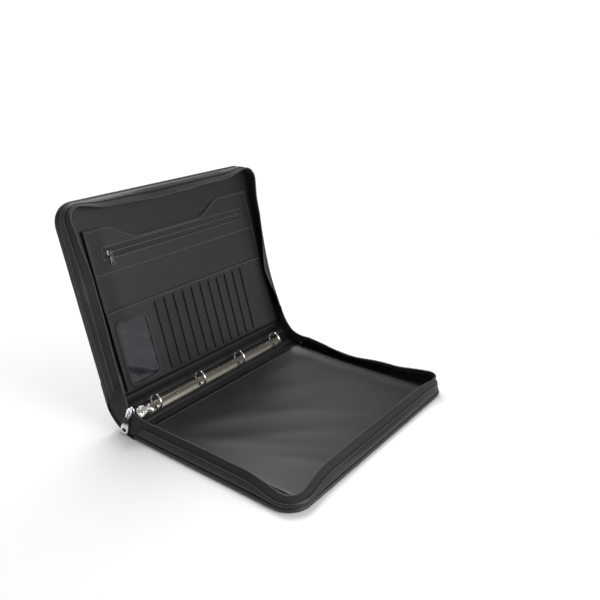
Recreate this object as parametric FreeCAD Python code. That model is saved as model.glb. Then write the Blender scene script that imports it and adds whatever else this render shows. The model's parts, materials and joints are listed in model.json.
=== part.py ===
import FreeCAD, Part
import os
from math import asin, cos, degrees, pi, radians, sin, sqrt

# Zip-round portfolio case with a four-ring binder on its spine.
#
# Frame: the back cover lies flat on Z = 0 with its outer face down. The origin is the middle of that
# face, +X points from the spine to the cover's outer edge, +Y along the spine, +Z up.
#
# Every piece is first made with the case shut, where both covers are level and the front cover is the
# back cover's mirror image. The spine and the front cover are then turned open about the hinge lines.

V = FreeCAD.Vector
X_AXIS = V(1, 0, 0)
Y_AXIS = V(0, 1, 0)
Z_AXIS = V(0, 0, 1)

# ---- Driving dimensions, mm and degrees -----------------------------------------------------------

# Case
COVER_LENGTH = 259.0        # hinge line to outer edge
SPINE_END_ROOM = 33.5       # ring mechanism to each end of the spine
CORNER_RADIUS = 28.0        # the two outer corners of each cover
SPINE_WIDTH = 50.0          # hinge line to hinge line
SPINE_BULGE = 6.0           # how far the spine's middle stands out from that width
SPINE_OPEN = 55.0           # turned open from shut, back cover to spine
FRONT_OPEN = 50.0           # turned open from shut, spine to front cover

# Layers of a cover, from the outside in
SKIN = 1.2
FOAM = 1.6
BOARD = 2.0
LINING = 0.8
POCKET_SHEET = 0.8
CREASE = 7.0                # soft strip beside each hinge line that holds no board
HINGE_GAP = 0.45            # hinge line to the edge of a skin
LAY_GAP = 0.05              # between the layers and the turned-in edge
FRONT_STRIP = 33.0          # spine-side strip of the front cover, up to the sewn seam

# Zip wall round the three open sides
WALL_INSET = 3.0            # cover edge to the foot of the wall
WALL_LEAN = 9.0             # how far the wall leans in from foot to rim
GUSSET = 1.2
GUSSET_HEIGHT = 9.5
TAPE = 0.8
TAPE_OVERLAP = 3.0
COIL_WIDTH = 2.4
COIL_HEIGHT = 2.3
RIM_GAP = 0.4               # coil to the middle plane of the shut case
WALL_START = 7.0            # hinge line to the end of the wall, at its foot
WALL_START_RIM = 30.0       # and at its rim
WEB = 1.6                   # fabric that joins the two tapes across each end of the spine
WEB_INSET = 2.1
WEB_FOOT = 7.0
NEAR_WEB_REACH = 30.0       # as far as the slider
FAR_WEB_REACH = 10.0
WEB_START = 1.5

# Ring mechanism, measured from the middle of its foot
RING_PITCH = 80.0
RING_COUNT = 4
RING_RADIUS = 10.0          # to the middle of the wire
RING_WIRE = 2.8
RING_CENTRE = 15.2          # height of the ring's centre
RING_LEG_ANGLE = 62.0       # below level, where the wire turns down to its rail
RING_TIP_GAP = 0.3
MECH_SHIFT = 3.0            # towards the back cover from the middle of the spine
PAD_THINNEST = 0.3
HOUSING_END = 19.0          # outer ring to the end of the housing
HOUSING_WIDTH = 18.0
HOUSING_HEIGHT = 8.0
HOUSING_SIDE = 3.5
HOUSING_SHEET = 0.9
SLOT_CLEAR = 0.5
SLOT_SWING = 2.3            # room for the wire to swing outwards
RAIL_THICKNESS = 1.2
RAIL_LOW = 1.4
RAIL_INNER = 0.3
RAIL_SIDE_GAP = 0.6
RAIL_NEAR_END = 5.0         # housing end to rail end, beside the lever
RAIL_FAR_END = 2.0
RIVET_SHANK = 1.6
RIVET_HEAD = 2.5
RIVET_HEAD_HEIGHT = 1.1
RIVET_CLEAR = 0.05
RAIL_RIVET_CLEAR = 0.8
LEVER_PIN = 0.8
LEVER_BARREL = 1.7
LEVER_PIN_HEIGHT = 2.4
LEVER_PIN_INSET = 2.5
LEVER_REACH = 17.0
LEVER_RISE = 8.0
LEVER_SHEET = 1.4
LEVER_SIDE_GAP = 2.1
RUNNING_FIT = 0.05

# Main zip slider and pull, measured on the shut spine from the back hinge line
SLIDER_IN = 29.0
SLIDER_DROP = 3.0           # below the web's free corner
SLIDER_TURN = 13.5          # leans towards the back cover's chain
SLIDER_LENGTH = 14.0
SLIDER_WIDTH = 9.0
SLIDER_TAIL = 6.0
WING = 1.7
TAPE_SLOT_GAP = 0.4
BRIDGE_SPAN = 9.0
BRIDGE_WIDTH = 2.2
BRIDGE_BAR = 1.2
BRIDGE_ROOM = 2.4
PULL_LENGTH = 36.0
PULL_WIDTH = 10.0
PULL_SHEET = 1.4
PULL_HOLE = 3.2
PULL_CLEAR = 0.35

# Organiser on the inside of the front cover: heights up from the hinge line unless they say otherwise
ORG_NEAR_MARGIN = 28.5      # cover's near end to the organiser
ORG_FAR_MARGIN = 17.5
ORG_START = 8.0
WAVE_MARGIN = 39.0          # cover's outer edge down to the upper pocket's shoulders
WAVE_DIP = 21.0             # shoulders down to the dip
WAVE_NEAR_BEND = (34.0, 82.0)   # where the near slope starts and ends, from the organiser's near edge
WAVE_FAR_BEND = (110.0, 57.0)   # and the far slope, from its far edge
ZIP_DROP = 33.5             # shoulders down to the pocket zip
SEAM_DROP = 59.5            # shoulders down to the upper pocket's seam
ZIP_OPENING = 12.5
ZIP_NEAR_MARGIN = 23.0      # organiser's edges to the ends of the zip
ZIP_FAR_MARGIN = 22.0
POCKET_COIL = 2.6
CARD_TOP = 115.0
CARD_SHEET = 0.8
SLIT_NEAR_GAP = 19.8        # window to the first slit
SLIT_FAR_MARGIN = 50.7      # last slit to the organiser's far edge
SLIT_COUNT = 11
SLIT_WIDTH = 0.5
SLIT_LOW = 12.0
SLIT_HIGH = 106.4
WINDOW_MARGIN = 11.0        # organiser's near edge to the window
WINDOW_WIDTH = 48.0
WINDOW_LOW = 15.0
WINDOW_HIGH = 96.0
WINDOW_RADIUS = 7.0
WINDOW_FRAME = 4.0
FILM = 0.3
POCKET_SLIDER_STOP = 9.0    # near end of the zip to the middle of the slider
POCKET_SLIDER_LENGTH = 9.0
POCKET_SLIDER_WIDTH = 7.0
POCKET_SLIDER_GAP = 0.3
POCKET_PULL_LENGTH = 17.0
POCKET_PULL_WIDTH = 5.6

# Sheet pocket on the inside of the back cover, measured from the hinge line and the cover's edges
BACK_POCKET_START = 10.0
BACK_POCKET_OUTER = 15.0
BACK_POCKET_SIDE = 24.5
BACK_POCKET_RADIUS = 12.0

# ---- Worked out from these ------------------------------------------------------------------------

HOUSING_LENGTH = RING_PITCH * (RING_COUNT - 1) + 2 * HOUSING_END
CASE_HEIGHT = HOUSING_LENGTH + 2 * SPINE_END_ROOM
HALF_HEIGHT = CASE_HEIGHT / 2
HINGE_X = -COVER_LENGTH / 2
HINGE_Z = SKIN / 2
SHUT_THICKNESS = SPINE_WIDTH + SKIN
MIDDLE_Z = SHUT_THICKNESS / 2
STACK = SKIN + FOAM + BOARD + LINING
RIM_Z = MIDDLE_Z - RIM_GAP
TAPE_TOP = RIM_Z - COIL_HEIGHT
GUSSET_TOP = STACK + GUSSET_HEIGHT
SPINE_RADIUS = ((SPINE_WIDTH / 2) ** 2 + SPINE_BULGE ** 2) / (2 * SPINE_BULGE)
SPINE_CENTRE_X = HINGE_X - SPINE_BULGE + SPINE_RADIUS
SKIN_INNER_RADIUS = SPINE_RADIUS - SKIN / 2
BOARD_INNER_RADIUS = SKIN_INNER_RADIUS - BOARD
LINING_INNER_RADIUS = BOARD_INNER_RADIUS - LINING
MECH_Z = MIDDLE_Z - MECH_SHIFT
PAD_HALF = HOUSING_WIDTH / 2 + 1.0
FOOT_X = SPINE_CENTRE_X - sqrt(LINING_INNER_RADIUS ** 2 - (MECH_SHIFT + PAD_HALF) ** 2) + PAD_THINNEST
RAIL_TOP = RAIL_LOW + RAIL_THICKNESS
RAIL_OUTER = HOUSING_WIDTH / 2 - HOUSING_SHEET - RAIL_SIDE_GAP
RING_LEG = RING_RADIUS * cos(radians(RING_LEG_ANGLE))
RIVET_SPAN = RING_PITCH * (RING_COUNT - 2)
LEVER_WIDTH = HOUSING_WIDTH - 2 * (HOUSING_SHEET + LEVER_SIDE_GAP)
WEB_TIP = SPINE_WIDTH / 2 - MECH_SHIFT
SLIDER_UP = WEB_TIP - SLIDER_DROP
SLIDER_FACE = HALF_HEIGHT + 0.1
ORG_NEAR = ORG_NEAR_MARGIN - HALF_HEIGHT
ORG_FAR = HALF_HEIGHT - ORG_FAR_MARGIN
WAVE_HIGH = COVER_LENGTH - WAVE_MARGIN
WAVE_LOW = WAVE_HIGH - WAVE_DIP
ZIP_LINE = WAVE_HIGH - ZIP_DROP
UPPER_SEAM = WAVE_HIGH - SEAM_DROP
ZIP_NEAR = ORG_NEAR + ZIP_NEAR_MARGIN
ZIP_FAR = ORG_FAR - ZIP_FAR_MARGIN
WINDOW_NEAR = ORG_NEAR + WINDOW_MARGIN
WINDOW_FAR = WINDOW_NEAR + WINDOW_WIDTH
SLIT_FIRST = WINDOW_FAR + SLIT_NEAR_GAP
SLIT_PITCH = (ORG_FAR - SLIT_FAR_MARGIN - SLIT_FIRST) / (SLIT_COUNT - 1)
POCKET_SLIDER_Y = ZIP_NEAR + POCKET_SLIDER_STOP
BACK_HINGE = V(HINGE_X, 0, HINGE_Z)
FRONT_HINGE = V(HINGE_X, 0, HINGE_Z + SPINE_WIDTH)


# ---- Small helpers --------------------------------------------------------------------------------

def box(x0, x1, y0, y1, z0, z1):
    """A box from its lowest to its highest corner."""
    return Part.makeBox(x1 - x0, y1 - y0, z1 - z0, V(x0, y0, z0))


def prism(points, direction):
    """The closed polygon through the points, pushed along a vector."""
    return Part.Face(Part.makePolygon(list(points) + [points[0]])).extrude(direction)


def cylinder(radius, start, end):
    """A round bar between two points."""
    line = end - start
    return Part.makeCylinder(radius, line.Length, start, line)


def rounded_box(x0, x1, y0, y1, z0, z1, radius):
    """A box whose four upright edges are rounded."""
    solid = box(x0, x1, y0, y1, z0, z1)
    upright = [e for e in solid.Edges if abs(e.BoundBox.ZLength - (z1 - z0)) < 1e-6]
    return solid.makeFillet(radius, upright)


# ---- Covers ---------------------------------------------------------------------------------------

def cover_outline(inset, z, start):
    """The cover's outline, moved in by inset on its three open sides, from start past the hinge."""
    radius = CORNER_RADIUS - inset
    x0 = HINGE_X + start
    x1 = HINGE_X + COVER_LENGTH - inset
    y1 = HALF_HEIGHT - inset
    bend = radius * (1 - sqrt(0.5))
    corners = [V(x0, -y1, z), V(x1 - radius, -y1, z), V(x1, -y1 + radius, z)]
    corners += [V(x1, y1 - radius, z), V(x1 - radius, y1, z), V(x0, y1, z)]
    near_arc = Part.Arc(corners[1], V(x1 - bend, -y1 + bend, z), corners[2]).toShape()
    far_arc = Part.Arc(corners[3], V(x1 - bend, y1 - bend, z), corners[4]).toShape()
    edges = [Part.makeLine(corners[0], corners[1]), near_arc]
    edges += [Part.makeLine(corners[2], corners[3]), far_arc]
    edges += [Part.makeLine(corners[4], corners[5]), Part.makeLine(corners[5], corners[0])]
    return Part.Wire(edges)


def cover_sheet(inset, start, z0, z1):
    """A flat layer of a cover between two heights."""
    return Part.Face(cover_outline(inset, z0, start)).extrude(V(0, 0, z1 - z0))


def skin(start=HINGE_GAP):
    """The outer skin with its edge turned in over the layers."""
    sheet = cover_sheet(0, start, 0, SKIN)
    edge = cover_sheet(0, CREASE, SKIN, STACK).cut(cover_sheet(SKIN, 0, SKIN - 1, STACK + 1))
    return sheet.fuse(edge).removeSplitter()


def layer(z0, thickness):
    """One layer inside the skin's turned edge."""
    return cover_sheet(SKIN + LAY_GAP, CREASE, z0, z0 + thickness)


def wall_inset(z):
    """How far in from the cover's edge the wall stands at a height."""
    return WALL_INSET + WALL_LEAN * (z - STACK) / (RIM_Z - STACK)


def wall_band(z0, z1, outside, thickness):
    """A strip of the leaning wall: outside is how far its outer face stands proud of the gusset's."""
    outer = [cover_outline(wall_inset(z) - outside, z, WALL_START) for z in (z0, z1)]
    inner = [cover_outline(wall_inset(z) - outside + thickness, z, 0) for z in (z0, z1)]
    band = Part.makeLoft(outer, True, True).cut(Part.makeLoft(inner, True, True))
    slope = (WALL_START_RIM - WALL_START) / (RIM_Z - STACK)
    low = HINGE_X + WALL_START
    past = 5.0
    cut = [V(low - slope * past, 0, STACK - past), V(low + slope * (RIM_Z - STACK + past), 0, RIM_Z + past)]
    cut += [V(HINGE_X - past, 0, RIM_Z + past), V(HINGE_X - past, 0, STACK - past)]
    cut = [p - V(0, CASE_HEIGHT, 0) for p in cut]
    return band.cut(prism(cut, V(0, 2 * CASE_HEIGHT, 0)))


def gusset():
    return wall_band(STACK, GUSSET_TOP, 0, GUSSET)


def zip_tape():
    return wall_band(GUSSET_TOP - TAPE_OVERLAP, TAPE_TOP, TAPE, TAPE)


def zip_coil():
    return wall_band(TAPE_TOP, RIM_Z, TAPE / 2 + COIL_WIDTH / 2, COIL_WIDTH)


def back_pocket():
    """Sheet pocket lying on the back cover's lining, open at its spine side."""
    x0 = HINGE_X + BACK_POCKET_START
    x1 = HINGE_X + COVER_LENGTH - BACK_POCKET_OUTER
    y1 = HALF_HEIGHT - BACK_POCKET_SIDE
    return rounded_box(x0, x1, -y1, y1, STACK, STACK + POCKET_SHEET, BACK_POCKET_RADIUS)


# ---- Spine ----------------------------------------------------------------------------------------

def spine_layer(outer, inner, margin, inset=0.0):
    """A curved layer of the spine between two radii, stopping margin short of each hinge line."""
    y1 = HALF_HEIGHT - inset
    centre = V(SPINE_CENTRE_X, -y1, MIDDLE_Z)
    tube = Part.makeCylinder(outer, 2 * y1, centre, Y_AXIS)
    tube = tube.cut(Part.makeCylinder(inner, 2 * y1, centre, Y_AXIS))
    low = HINGE_Z + margin
    far_left = SPINE_CENTRE_X - outer - 1
    return tube.common(box(far_left, SPINE_CENTRE_X, -y1, y1, low, low + SPINE_WIDTH - 2 * margin))


def mechanism_pad():
    """Stiff strip between the curved lining and the mechanism's flat foot."""
    half = HOUSING_LENGTH / 2 + 1.0
    block = box(FOOT_X - 5, FOOT_X, -half, half, MECH_Z - PAD_HALF, MECH_Z + PAD_HALF)
    inside = Part.makeCylinder(LINING_INNER_RADIUS, 2 * half, V(SPINE_CENTRE_X, -half, MIDDLE_Z), Y_AXIS)
    return block.common(inside)


def end_web(end, reach):
    """Web that joins the two zip tapes across one end of the spine: end is -1 near, +1 far."""
    y_out = end * (HALF_HEIGHT - WEB_INSET)
    top = SPINE_WIDTH - WEB_FOOT
    points = [(WEB_START, WEB_FOOT), (reach, WEB_TIP), (WEB_START, top)]
    corners = [V(HINGE_X + inward, y_out, HINGE_Z + up) for inward, up in points]
    return prism(corners, V(0, -end * WEB, 0))


# ---- Ring mechanism: h is the height over its foot, w across the spine, y along it --------------

def mech(h, y, w):
    """A point of the mechanism in the shut case."""
    return V(FOOT_X + h, y, MECH_Z + w)


def mech_box(h0, h1, y0, y1, w0, w1):
    return box(FOOT_X + h0, FOOT_X + h1, y0, y1, MECH_Z + w0, MECH_Z + w1)


def ring_places():
    first = -RING_PITCH * (RING_COUNT - 1) / 2
    return [first + RING_PITCH * i for i in range(RING_COUNT)]


def rivet_places():
    return [-RIVET_SPAN / 2, RIVET_SPAN / 2]


def arch(inside):
    """The housing's profile, or the room inside it, pushed along the spine."""
    half = HOUSING_WIDTH / 2 - inside
    side = HOUSING_SIDE - inside / 2
    crown = HOUSING_HEIGHT - inside
    y0 = -HOUSING_LENGTH / 2 - (1 if inside else 0)
    foot = [mech(-inside, y0, half), mech(-inside, y0, -half)]
    shoulders = [mech(side, y0, -half), mech(side, y0, half)]
    top = Part.Arc(shoulders[0], mech(crown, y0, 0), shoulders[1]).toShape()
    edges = [Part.makeLine(foot[0], foot[1]), Part.makeLine(foot[1], shoulders[0]), top]
    edges.append(Part.makeLine(shoulders[1], foot[0]))
    return Part.Face(Part.Wire(edges)).extrude(V(0, -2 * y0, 0))


def housing():
    """Curved cover plate with a slot for every half ring and two riveted seats."""
    plate = arch(0).cut(arch(HOUSING_SHEET))
    reach = RING_WIRE / 2 + SLOT_CLEAR
    slot = (RING_LEG - reach, RING_LEG + RING_WIRE / 2 + SLOT_SWING)
    for y in ring_places():
        for side in (-1, 1):
            low, high = sorted((side * slot[0], side * slot[1]))
            plate = plate.cut(mech_box(1.0, HOUSING_HEIGHT + 1, y - reach, y + reach, low, high))
    seat = HOUSING_HEIGHT - RIVET_HEAD_HEIGHT / 4
    for y in rivet_places():
        plate = plate.cut(cylinder(RIVET_SHANK + RIVET_CLEAR, mech(0, y, 0), mech(HOUSING_HEIGHT + 1, y, 0)))
        plate = plate.cut(cylinder(RIVET_HEAD + RIVET_CLEAR, mech(seat, y, 0), mech(seat + 2, y, 0)))
    return plate.cut(lever_bar(LEVER_PIN + RUNNING_FIT, HOUSING_WIDTH / 2 + 1))


def rivets():
    """Two rivets from the crown of the housing down into the spine board."""
    made = []
    seat = HOUSING_HEIGHT - RIVET_HEAD_HEIGHT / 4
    tail = SPINE_CENTRE_X - sqrt(SKIN_INNER_RADIUS ** 2 - (MECH_SHIFT + RIVET_SHANK) ** 2) - FOOT_X
    for y in rivet_places():
        shank = cylinder(RIVET_SHANK, mech(tail, y, 0), mech(seat, y, 0))
        head = cylinder(RIVET_HEAD, mech(seat, y, 0), mech(seat + RIVET_HEAD_HEIGHT, y, 0))
        rim = [e for e in head.Edges if abs(e.BoundBox.XMin - (FOOT_X + seat + RIVET_HEAD_HEIGHT)) < 1e-6]
        made.append(shank.fuse(head.makeFillet(RIVET_HEAD_HEIGHT * 0.6, rim)).removeSplitter())
    return Part.makeCompound(made)


def drill_for_rivets(solid):
    """Clears the rivets' shanks through a layer of the spine."""
    for y in rivet_places():
        solid = solid.cut(cylinder(RIVET_SHANK + RIVET_CLEAR, mech(-10, y, 0), mech(HOUSING_HEIGHT, y, 0)))
    return solid


def rail(side):
    """Flat spring-steel rail under the housing that carries four half rings."""
    low, high = sorted((side * RAIL_INNER, side * RAIL_OUTER))
    y0 = -HOUSING_LENGTH / 2 + RAIL_NEAR_END
    y1 = HOUSING_LENGTH / 2 - RAIL_FAR_END
    strip = mech_box(RAIL_LOW, RAIL_TOP, y0, y1, low, high)
    for y in rivet_places():
        room = RIVET_SHANK + RAIL_RIVET_CLEAR
        strip = strip.cut(cylinder(room, mech(0, y, 0), mech(HOUSING_HEIGHT, y, 0)))
    return strip


def ring_half(side, y):
    """Half a ring: an arc of wire from its tip round to a short leg that stands on the rail."""
    wire = RING_WIRE / 2
    gap = degrees(asin(RING_TIP_GAP / 2 / RING_RADIUS))
    centre = mech(RING_CENTRE, y, 0)
    lean = radians(gap)
    tip = mech(RING_CENTRE + RING_RADIUS * cos(lean), y, side * RING_RADIUS * sin(lean))
    along = V(-sin(lean) * side, 0, cos(lean))
    disc = Part.Face(Part.Wire(Part.makeCircle(wire, tip, along)))
    arc = disc.revolve(centre, Y_AXIS, -side * (90 + RING_LEG_ANGLE - gap))
    w = side * RING_LEG
    h = RING_CENTRE - RING_RADIUS * sin(radians(RING_LEG_ANGLE))
    knee = Part.makeSphere(wire, mech(h, y, w))
    leg = cylinder(wire, mech(RAIL_TOP, y, w), mech(h, y, w))
    return arc.fuse([knee, leg]).removeSplitter()


def ring_halves(side):
    return Part.makeCompound([ring_half(side, y) for y in ring_places()])


def lever_place():
    """Where the lever's pin runs: its height and its place along the spine."""
    return LEVER_PIN_HEIGHT, -HOUSING_LENGTH / 2 + LEVER_PIN_INSET


def lever_bar(radius, half):
    """A round bar on the lever's axis, reaching half to each side."""
    h, y = lever_place()
    return cylinder(radius, mech(h, y, -half), mech(h, y, half))


def lever():
    """Thumb lever at the near end: a barrel on the pin and a tongue that sweeps up."""
    h, y = lever_place()
    half = LEVER_WIDTH / 2
    knee_y = y - LEVER_PIN_INSET - 2.0
    tip = (h + LEVER_RISE, y - LEVER_REACH)
    under = [(h - LEVER_SHEET / 2, y), (h - LEVER_SHEET / 2, knee_y), (tip[0] - LEVER_SHEET, tip[1])]
    over = [tip, (h + LEVER_SHEET / 2, knee_y + 0.6), (h + LEVER_SHEET / 2, y)]
    tongue = prism([mech(ph, py, -half) for ph, py in under + over], V(0, 0, LEVER_WIDTH))
    bore = lever_bar(LEVER_PIN + RUNNING_FIT, half + 1)
    return lever_bar(LEVER_BARREL, half).fuse(tongue).cut(bore).removeSplitter()


# ---- Zip sliders and pulls: s runs from the tail to the nose, a across, o outwards ---------------

def slider_bridge(span, width, bar, room):
    """Arched bridge over a slider's outer wing, standing on o = 0."""
    half = span / 2
    whole = box(-half, half, -width / 2, width / 2, 0, room + bar)
    return whole.cut(box(-half + bar, half - bar, -width, width, 0, room))


def pull_tab(length, width, sheet, bridge_width, bridge_span, hole):
    """Flat pull that hangs towards -s from a crossbar under the bridge, with a hole at its free end."""
    arm_in = bridge_width / 2 + PULL_CLEAR
    arm_out = arm_in + 1.3
    shoulder = bridge_span / 2 + 1.2
    half = width / 2
    plate = box(-length + half, -shoulder, -half, half, -sheet / 2, sheet / 2)
    plate = plate.fuse(Part.makeCylinder(half, sheet, V(-length + half, 0, -sheet / 2)))
    if hole:
        plate = plate.cut(Part.makeCylinder(hole, sheet + 2, V(-length + half, 0, -sheet / 2 - 1)))
    arms = [box(-shoulder - 1, 0, sign * arm_in, sign * arm_out, -sheet / 2, sheet / 2) if sign > 0 else
            box(-shoulder - 1, 0, -arm_out, -arm_in, -sheet / 2, sheet / 2) for sign in (-1, 1)]
    bar = cylinder(sheet / 2, V(0, -arm_out, 0), V(0, arm_out, 0))
    return plate.fuse(arms + [bar]).removeSplitter()


def slider_frame(shape):
    """Moves a slider's own axes (s, a, o) to its place on the shut spine."""
    placed = shape.copy()
    placed.rotate(V(0, 0, 0), X_AXIS, 90)
    placed.rotate(V(0, 0, 0), Y_AXIS, -SLIDER_TURN)
    placed.translate(V(HINGE_X + SLIDER_IN, -SLIDER_FACE, HINGE_Z + SLIDER_UP))
    return placed


def tape_slot():
    """Depths of the slider's slot below its outer face, either side of the web."""
    web_top = WEB_INSET + SLIDER_FACE - HALF_HEIGHT
    return web_top - TAPE_SLOT_GAP, web_top + WEB + TAPE_SLOT_GAP


def main_slider():
    """Slider of the main zip: two wings either side of the tape, a post at the nose, and a bridge."""
    half = SLIDER_LENGTH / 2
    outline = [V(-half, -SLIDER_TAIL / 2, 0), V(half - 3, -SLIDER_WIDTH / 2, 0)]
    outline.append(V(half, -SLIDER_WIDTH / 4, 0))
    outline += [V(p.x, -p.y, 0) for p in reversed(outline)]
    slot_out, slot_in = tape_slot()
    outer = prism(outline, V(0, 0, -slot_out))
    inner = prism([p - V(0, 0, slot_in) for p in outline], V(0, 0, -WING))
    post = box(half - 3.0, half - 1.4, -1.0, 1.0, -slot_in, -slot_out)
    bridge = slider_bridge(BRIDGE_SPAN, BRIDGE_WIDTH, BRIDGE_BAR, BRIDGE_ROOM)
    return slider_frame(outer.fuse([inner, post, bridge]).removeSplitter())


def main_pull():
    tab = pull_tab(PULL_LENGTH, PULL_WIDTH, PULL_SHEET, BRIDGE_WIDTH, BRIDGE_SPAN, PULL_HOLE)
    tab.translate(V(0, 0, BRIDGE_ROOM / 2))
    return slider_frame(tab)


def web_at_slider(web):
    """Trims the near web where the slider's post passes through the tapes."""
    half = SLIDER_LENGTH / 2
    return web.cut(slider_frame(box(half - 3.4, half + 6, -8, 8, -12, 2)))


# ---- Organiser: u runs from the front hinge line, y along the spine, t in from the outer face ----

def panel(u0, u1, y0, y1, t0, t1):
    return box(HINGE_X + u0, HINGE_X + u1, y0, y1, t0, t1)


def wave_edge(t):
    """Top edge of the upper pocket: two high shoulders with a smooth dip between them."""
    near0, near1 = [ORG_NEAR + bend for bend in WAVE_NEAR_BEND]
    far0, far1 = [ORG_FAR - bend for bend in WAVE_FAR_BEND]
    high, low = HINGE_X + WAVE_HIGH, HINGE_X + WAVE_LOW
    start, end = V(high, ORG_NEAR, t), V(high, ORG_FAR, t)
    curve = Part.BSplineCurve()
    points = [V(high, near0, t), V((high + low) / 2, (near0 + near1) / 2, t), V(low, near1, t)]
    points += [V(low, far0, t), V((high + low) / 2, (far0 + far1) / 2, t), V(high, far1, t)]
    curve.interpolate(Points=points, InitialTangent=Y_AXIS, FinalTangent=Y_AXIS)
    return start, curve.toShape(), end, points


def wave_panel(t0):
    """Upper pocket sheet with its wavy top and the long window of the zip."""
    start, curve, end, points = wave_edge(t0)
    foot = [V(HINGE_X + UPPER_SEAM, ORG_FAR, t0), V(HINGE_X + UPPER_SEAM, ORG_NEAR, t0)]
    edges = [Part.makeLine(start, points[0]), curve, Part.makeLine(points[-1], end)]
    edges += [Part.makeLine(end, foot[0]), Part.makeLine(foot[0], foot[1]), Part.makeLine(foot[1], start)]
    sheet = Part.Face(Part.Wire(edges)).extrude(V(0, 0, POCKET_SHEET))
    half = ZIP_OPENING / 2
    return sheet.cut(panel(ZIP_LINE - half, ZIP_LINE + half, ZIP_NEAR, ZIP_FAR, t0 - 1, t0 + 2))


def pocket_zip_tapes(t0):
    """The two tapes in the window, either side of the coil."""
    half = ZIP_OPENING / 2
    coil = POCKET_COIL / 2
    made = []
    for side in (-1, 1):
        low, high = sorted((side * coil, side * half))
        made.append(panel(ZIP_LINE + low, ZIP_LINE + high, ZIP_NEAR, ZIP_FAR, t0, t0 + TAPE / 2))
    return Part.makeCompound(made)


def pocket_zip_coil(t0):
    half = POCKET_COIL / 2
    return panel(ZIP_LINE - half, ZIP_LINE + half, ZIP_NEAR, ZIP_FAR, t0, t0 + POCKET_SHEET)


def slip_pocket(t0):
    """Sheet under the upper seam, seen between the seam and the card panel."""
    return panel(ORG_START, UPPER_SEAM, ORG_NEAR, ORG_FAR, t0, t0 + POCKET_SHEET)


def card_panel(t0):
    """Card sheet with its slits, and the opening of the clear window."""
    sheet = panel(ORG_START, CARD_TOP, ORG_NEAR, ORG_FAR, t0, t0 + CARD_SHEET)
    for i in range(SLIT_COUNT):
        y = SLIT_FIRST + SLIT_PITCH * i
        sheet = sheet.cut(panel(SLIT_LOW, SLIT_HIGH, y, y + SLIT_WIDTH, t0 - 1, t0 + 2))
    hole = rounded_box(HINGE_X + WINDOW_LOW, HINGE_X + WINDOW_HIGH, WINDOW_NEAR, WINDOW_FAR,
                       t0 - 1, t0 + 2, WINDOW_RADIUS)
    return sheet.cut(hole)


def card_leaves(t0):
    """Narrow pocket leaves behind the slits, one under each."""
    made = []
    for i in range(SLIT_COUNT):
        y = SLIT_FIRST + SLIT_PITCH * i
        made.append(panel(SLIT_LOW, SLIT_HIGH, y + 0.3, y + SLIT_PITCH - 0.3, t0, t0 + FILM))
    return Part.makeCompound(made)


def window_frame(t0):
    """Stitched border round the clear window."""
    x0, x1 = HINGE_X + WINDOW_LOW, HINGE_X + WINDOW_HIGH
    rim = WINDOW_FRAME / 2
    outer = rounded_box(x0 - rim, x1 + rim, WINDOW_NEAR - rim, WINDOW_FAR + rim, t0, t0 + FILM,
                        WINDOW_RADIUS + rim)
    return outer.cut(rounded_box(x0, x1, WINDOW_NEAR, WINDOW_FAR, t0 - 1, t0 + 2, WINDOW_RADIUS))


def window_film(t0):
    """Clear film lying in the card panel's opening."""
    gap = LAY_GAP
    return rounded_box(HINGE_X + WINDOW_LOW + gap, HINGE_X + WINDOW_HIGH - gap, WINDOW_NEAR + gap,
                       WINDOW_FAR - gap, t0, t0 + FILM, WINDOW_RADIUS - gap)


def pocket_slider_frame(shape, t0):
    """Moves a slider's own axes to the pocket zip: the pull hangs towards the spine."""
    placed = shape.copy()
    placed.translate(V(HINGE_X + ZIP_LINE, POCKET_SLIDER_Y, t0))
    return placed


def pocket_slider(t0):
    """Small slider lying on the pocket zip."""
    half_a = POCKET_SLIDER_LENGTH / 2
    half_s = POCKET_SLIDER_WIDTH / 2
    wing = rounded_box(-half_s, half_s, -half_a, half_a, 0, WING * 0.7, 1.5)
    bridge = slider_bridge(POCKET_SLIDER_WIDTH, 1.6, 0.9, 1.6)
    bridge.translate(V(0, 0, WING * 0.7))
    return pocket_slider_frame(wing.fuse(bridge).removeSplitter(), t0)


def pocket_pull(t0):
    tab = pull_tab(POCKET_PULL_LENGTH, POCKET_PULL_WIDTH, 0.9, 1.6, POCKET_SLIDER_WIDTH, 1.6)
    tab.translate(V(0, 0, WING * 0.7 + 0.8))
    return pocket_slider_frame(tab, t0)


# ---- Putting the case together --------------------------------------------------------------------

def back_cover():
    return {
        "back_skin": skin(),
        "back_foam": layer(SKIN, FOAM),
        "back_board": layer(SKIN + FOAM, BOARD),
        "back_lining": layer(SKIN + FOAM + BOARD, LINING),
        "back_sheet_pocket": back_pocket(),
        "back_gusset": gusset(),
        "back_zip_tape": zip_tape(),
        "back_zip_coil": zip_coil(),
    }


def spine():
    margin = CREASE
    return {
        "spine_skin": spine_layer(SPINE_RADIUS + SKIN / 2, SKIN_INNER_RADIUS, HINGE_GAP),
        "spine_board": drill_for_rivets(spine_layer(SKIN_INNER_RADIUS, BOARD_INNER_RADIUS, margin, SKIN)),
        "spine_lining": drill_for_rivets(spine_layer(BOARD_INNER_RADIUS, LINING_INNER_RADIUS, margin, SKIN)),
        "mechanism_pad": drill_for_rivets(mechanism_pad()),
        "near_tape_web": web_at_slider(end_web(-1, NEAR_WEB_REACH)),
        "far_tape_web": end_web(1, FAR_WEB_REACH),
        "ring_housing": housing(),
        "housing_rivets": rivets(),
        "lever_pin": lever_bar(LEVER_PIN, HOUSING_WIDTH / 2),
        "main_slider": main_slider(),
    }


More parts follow.
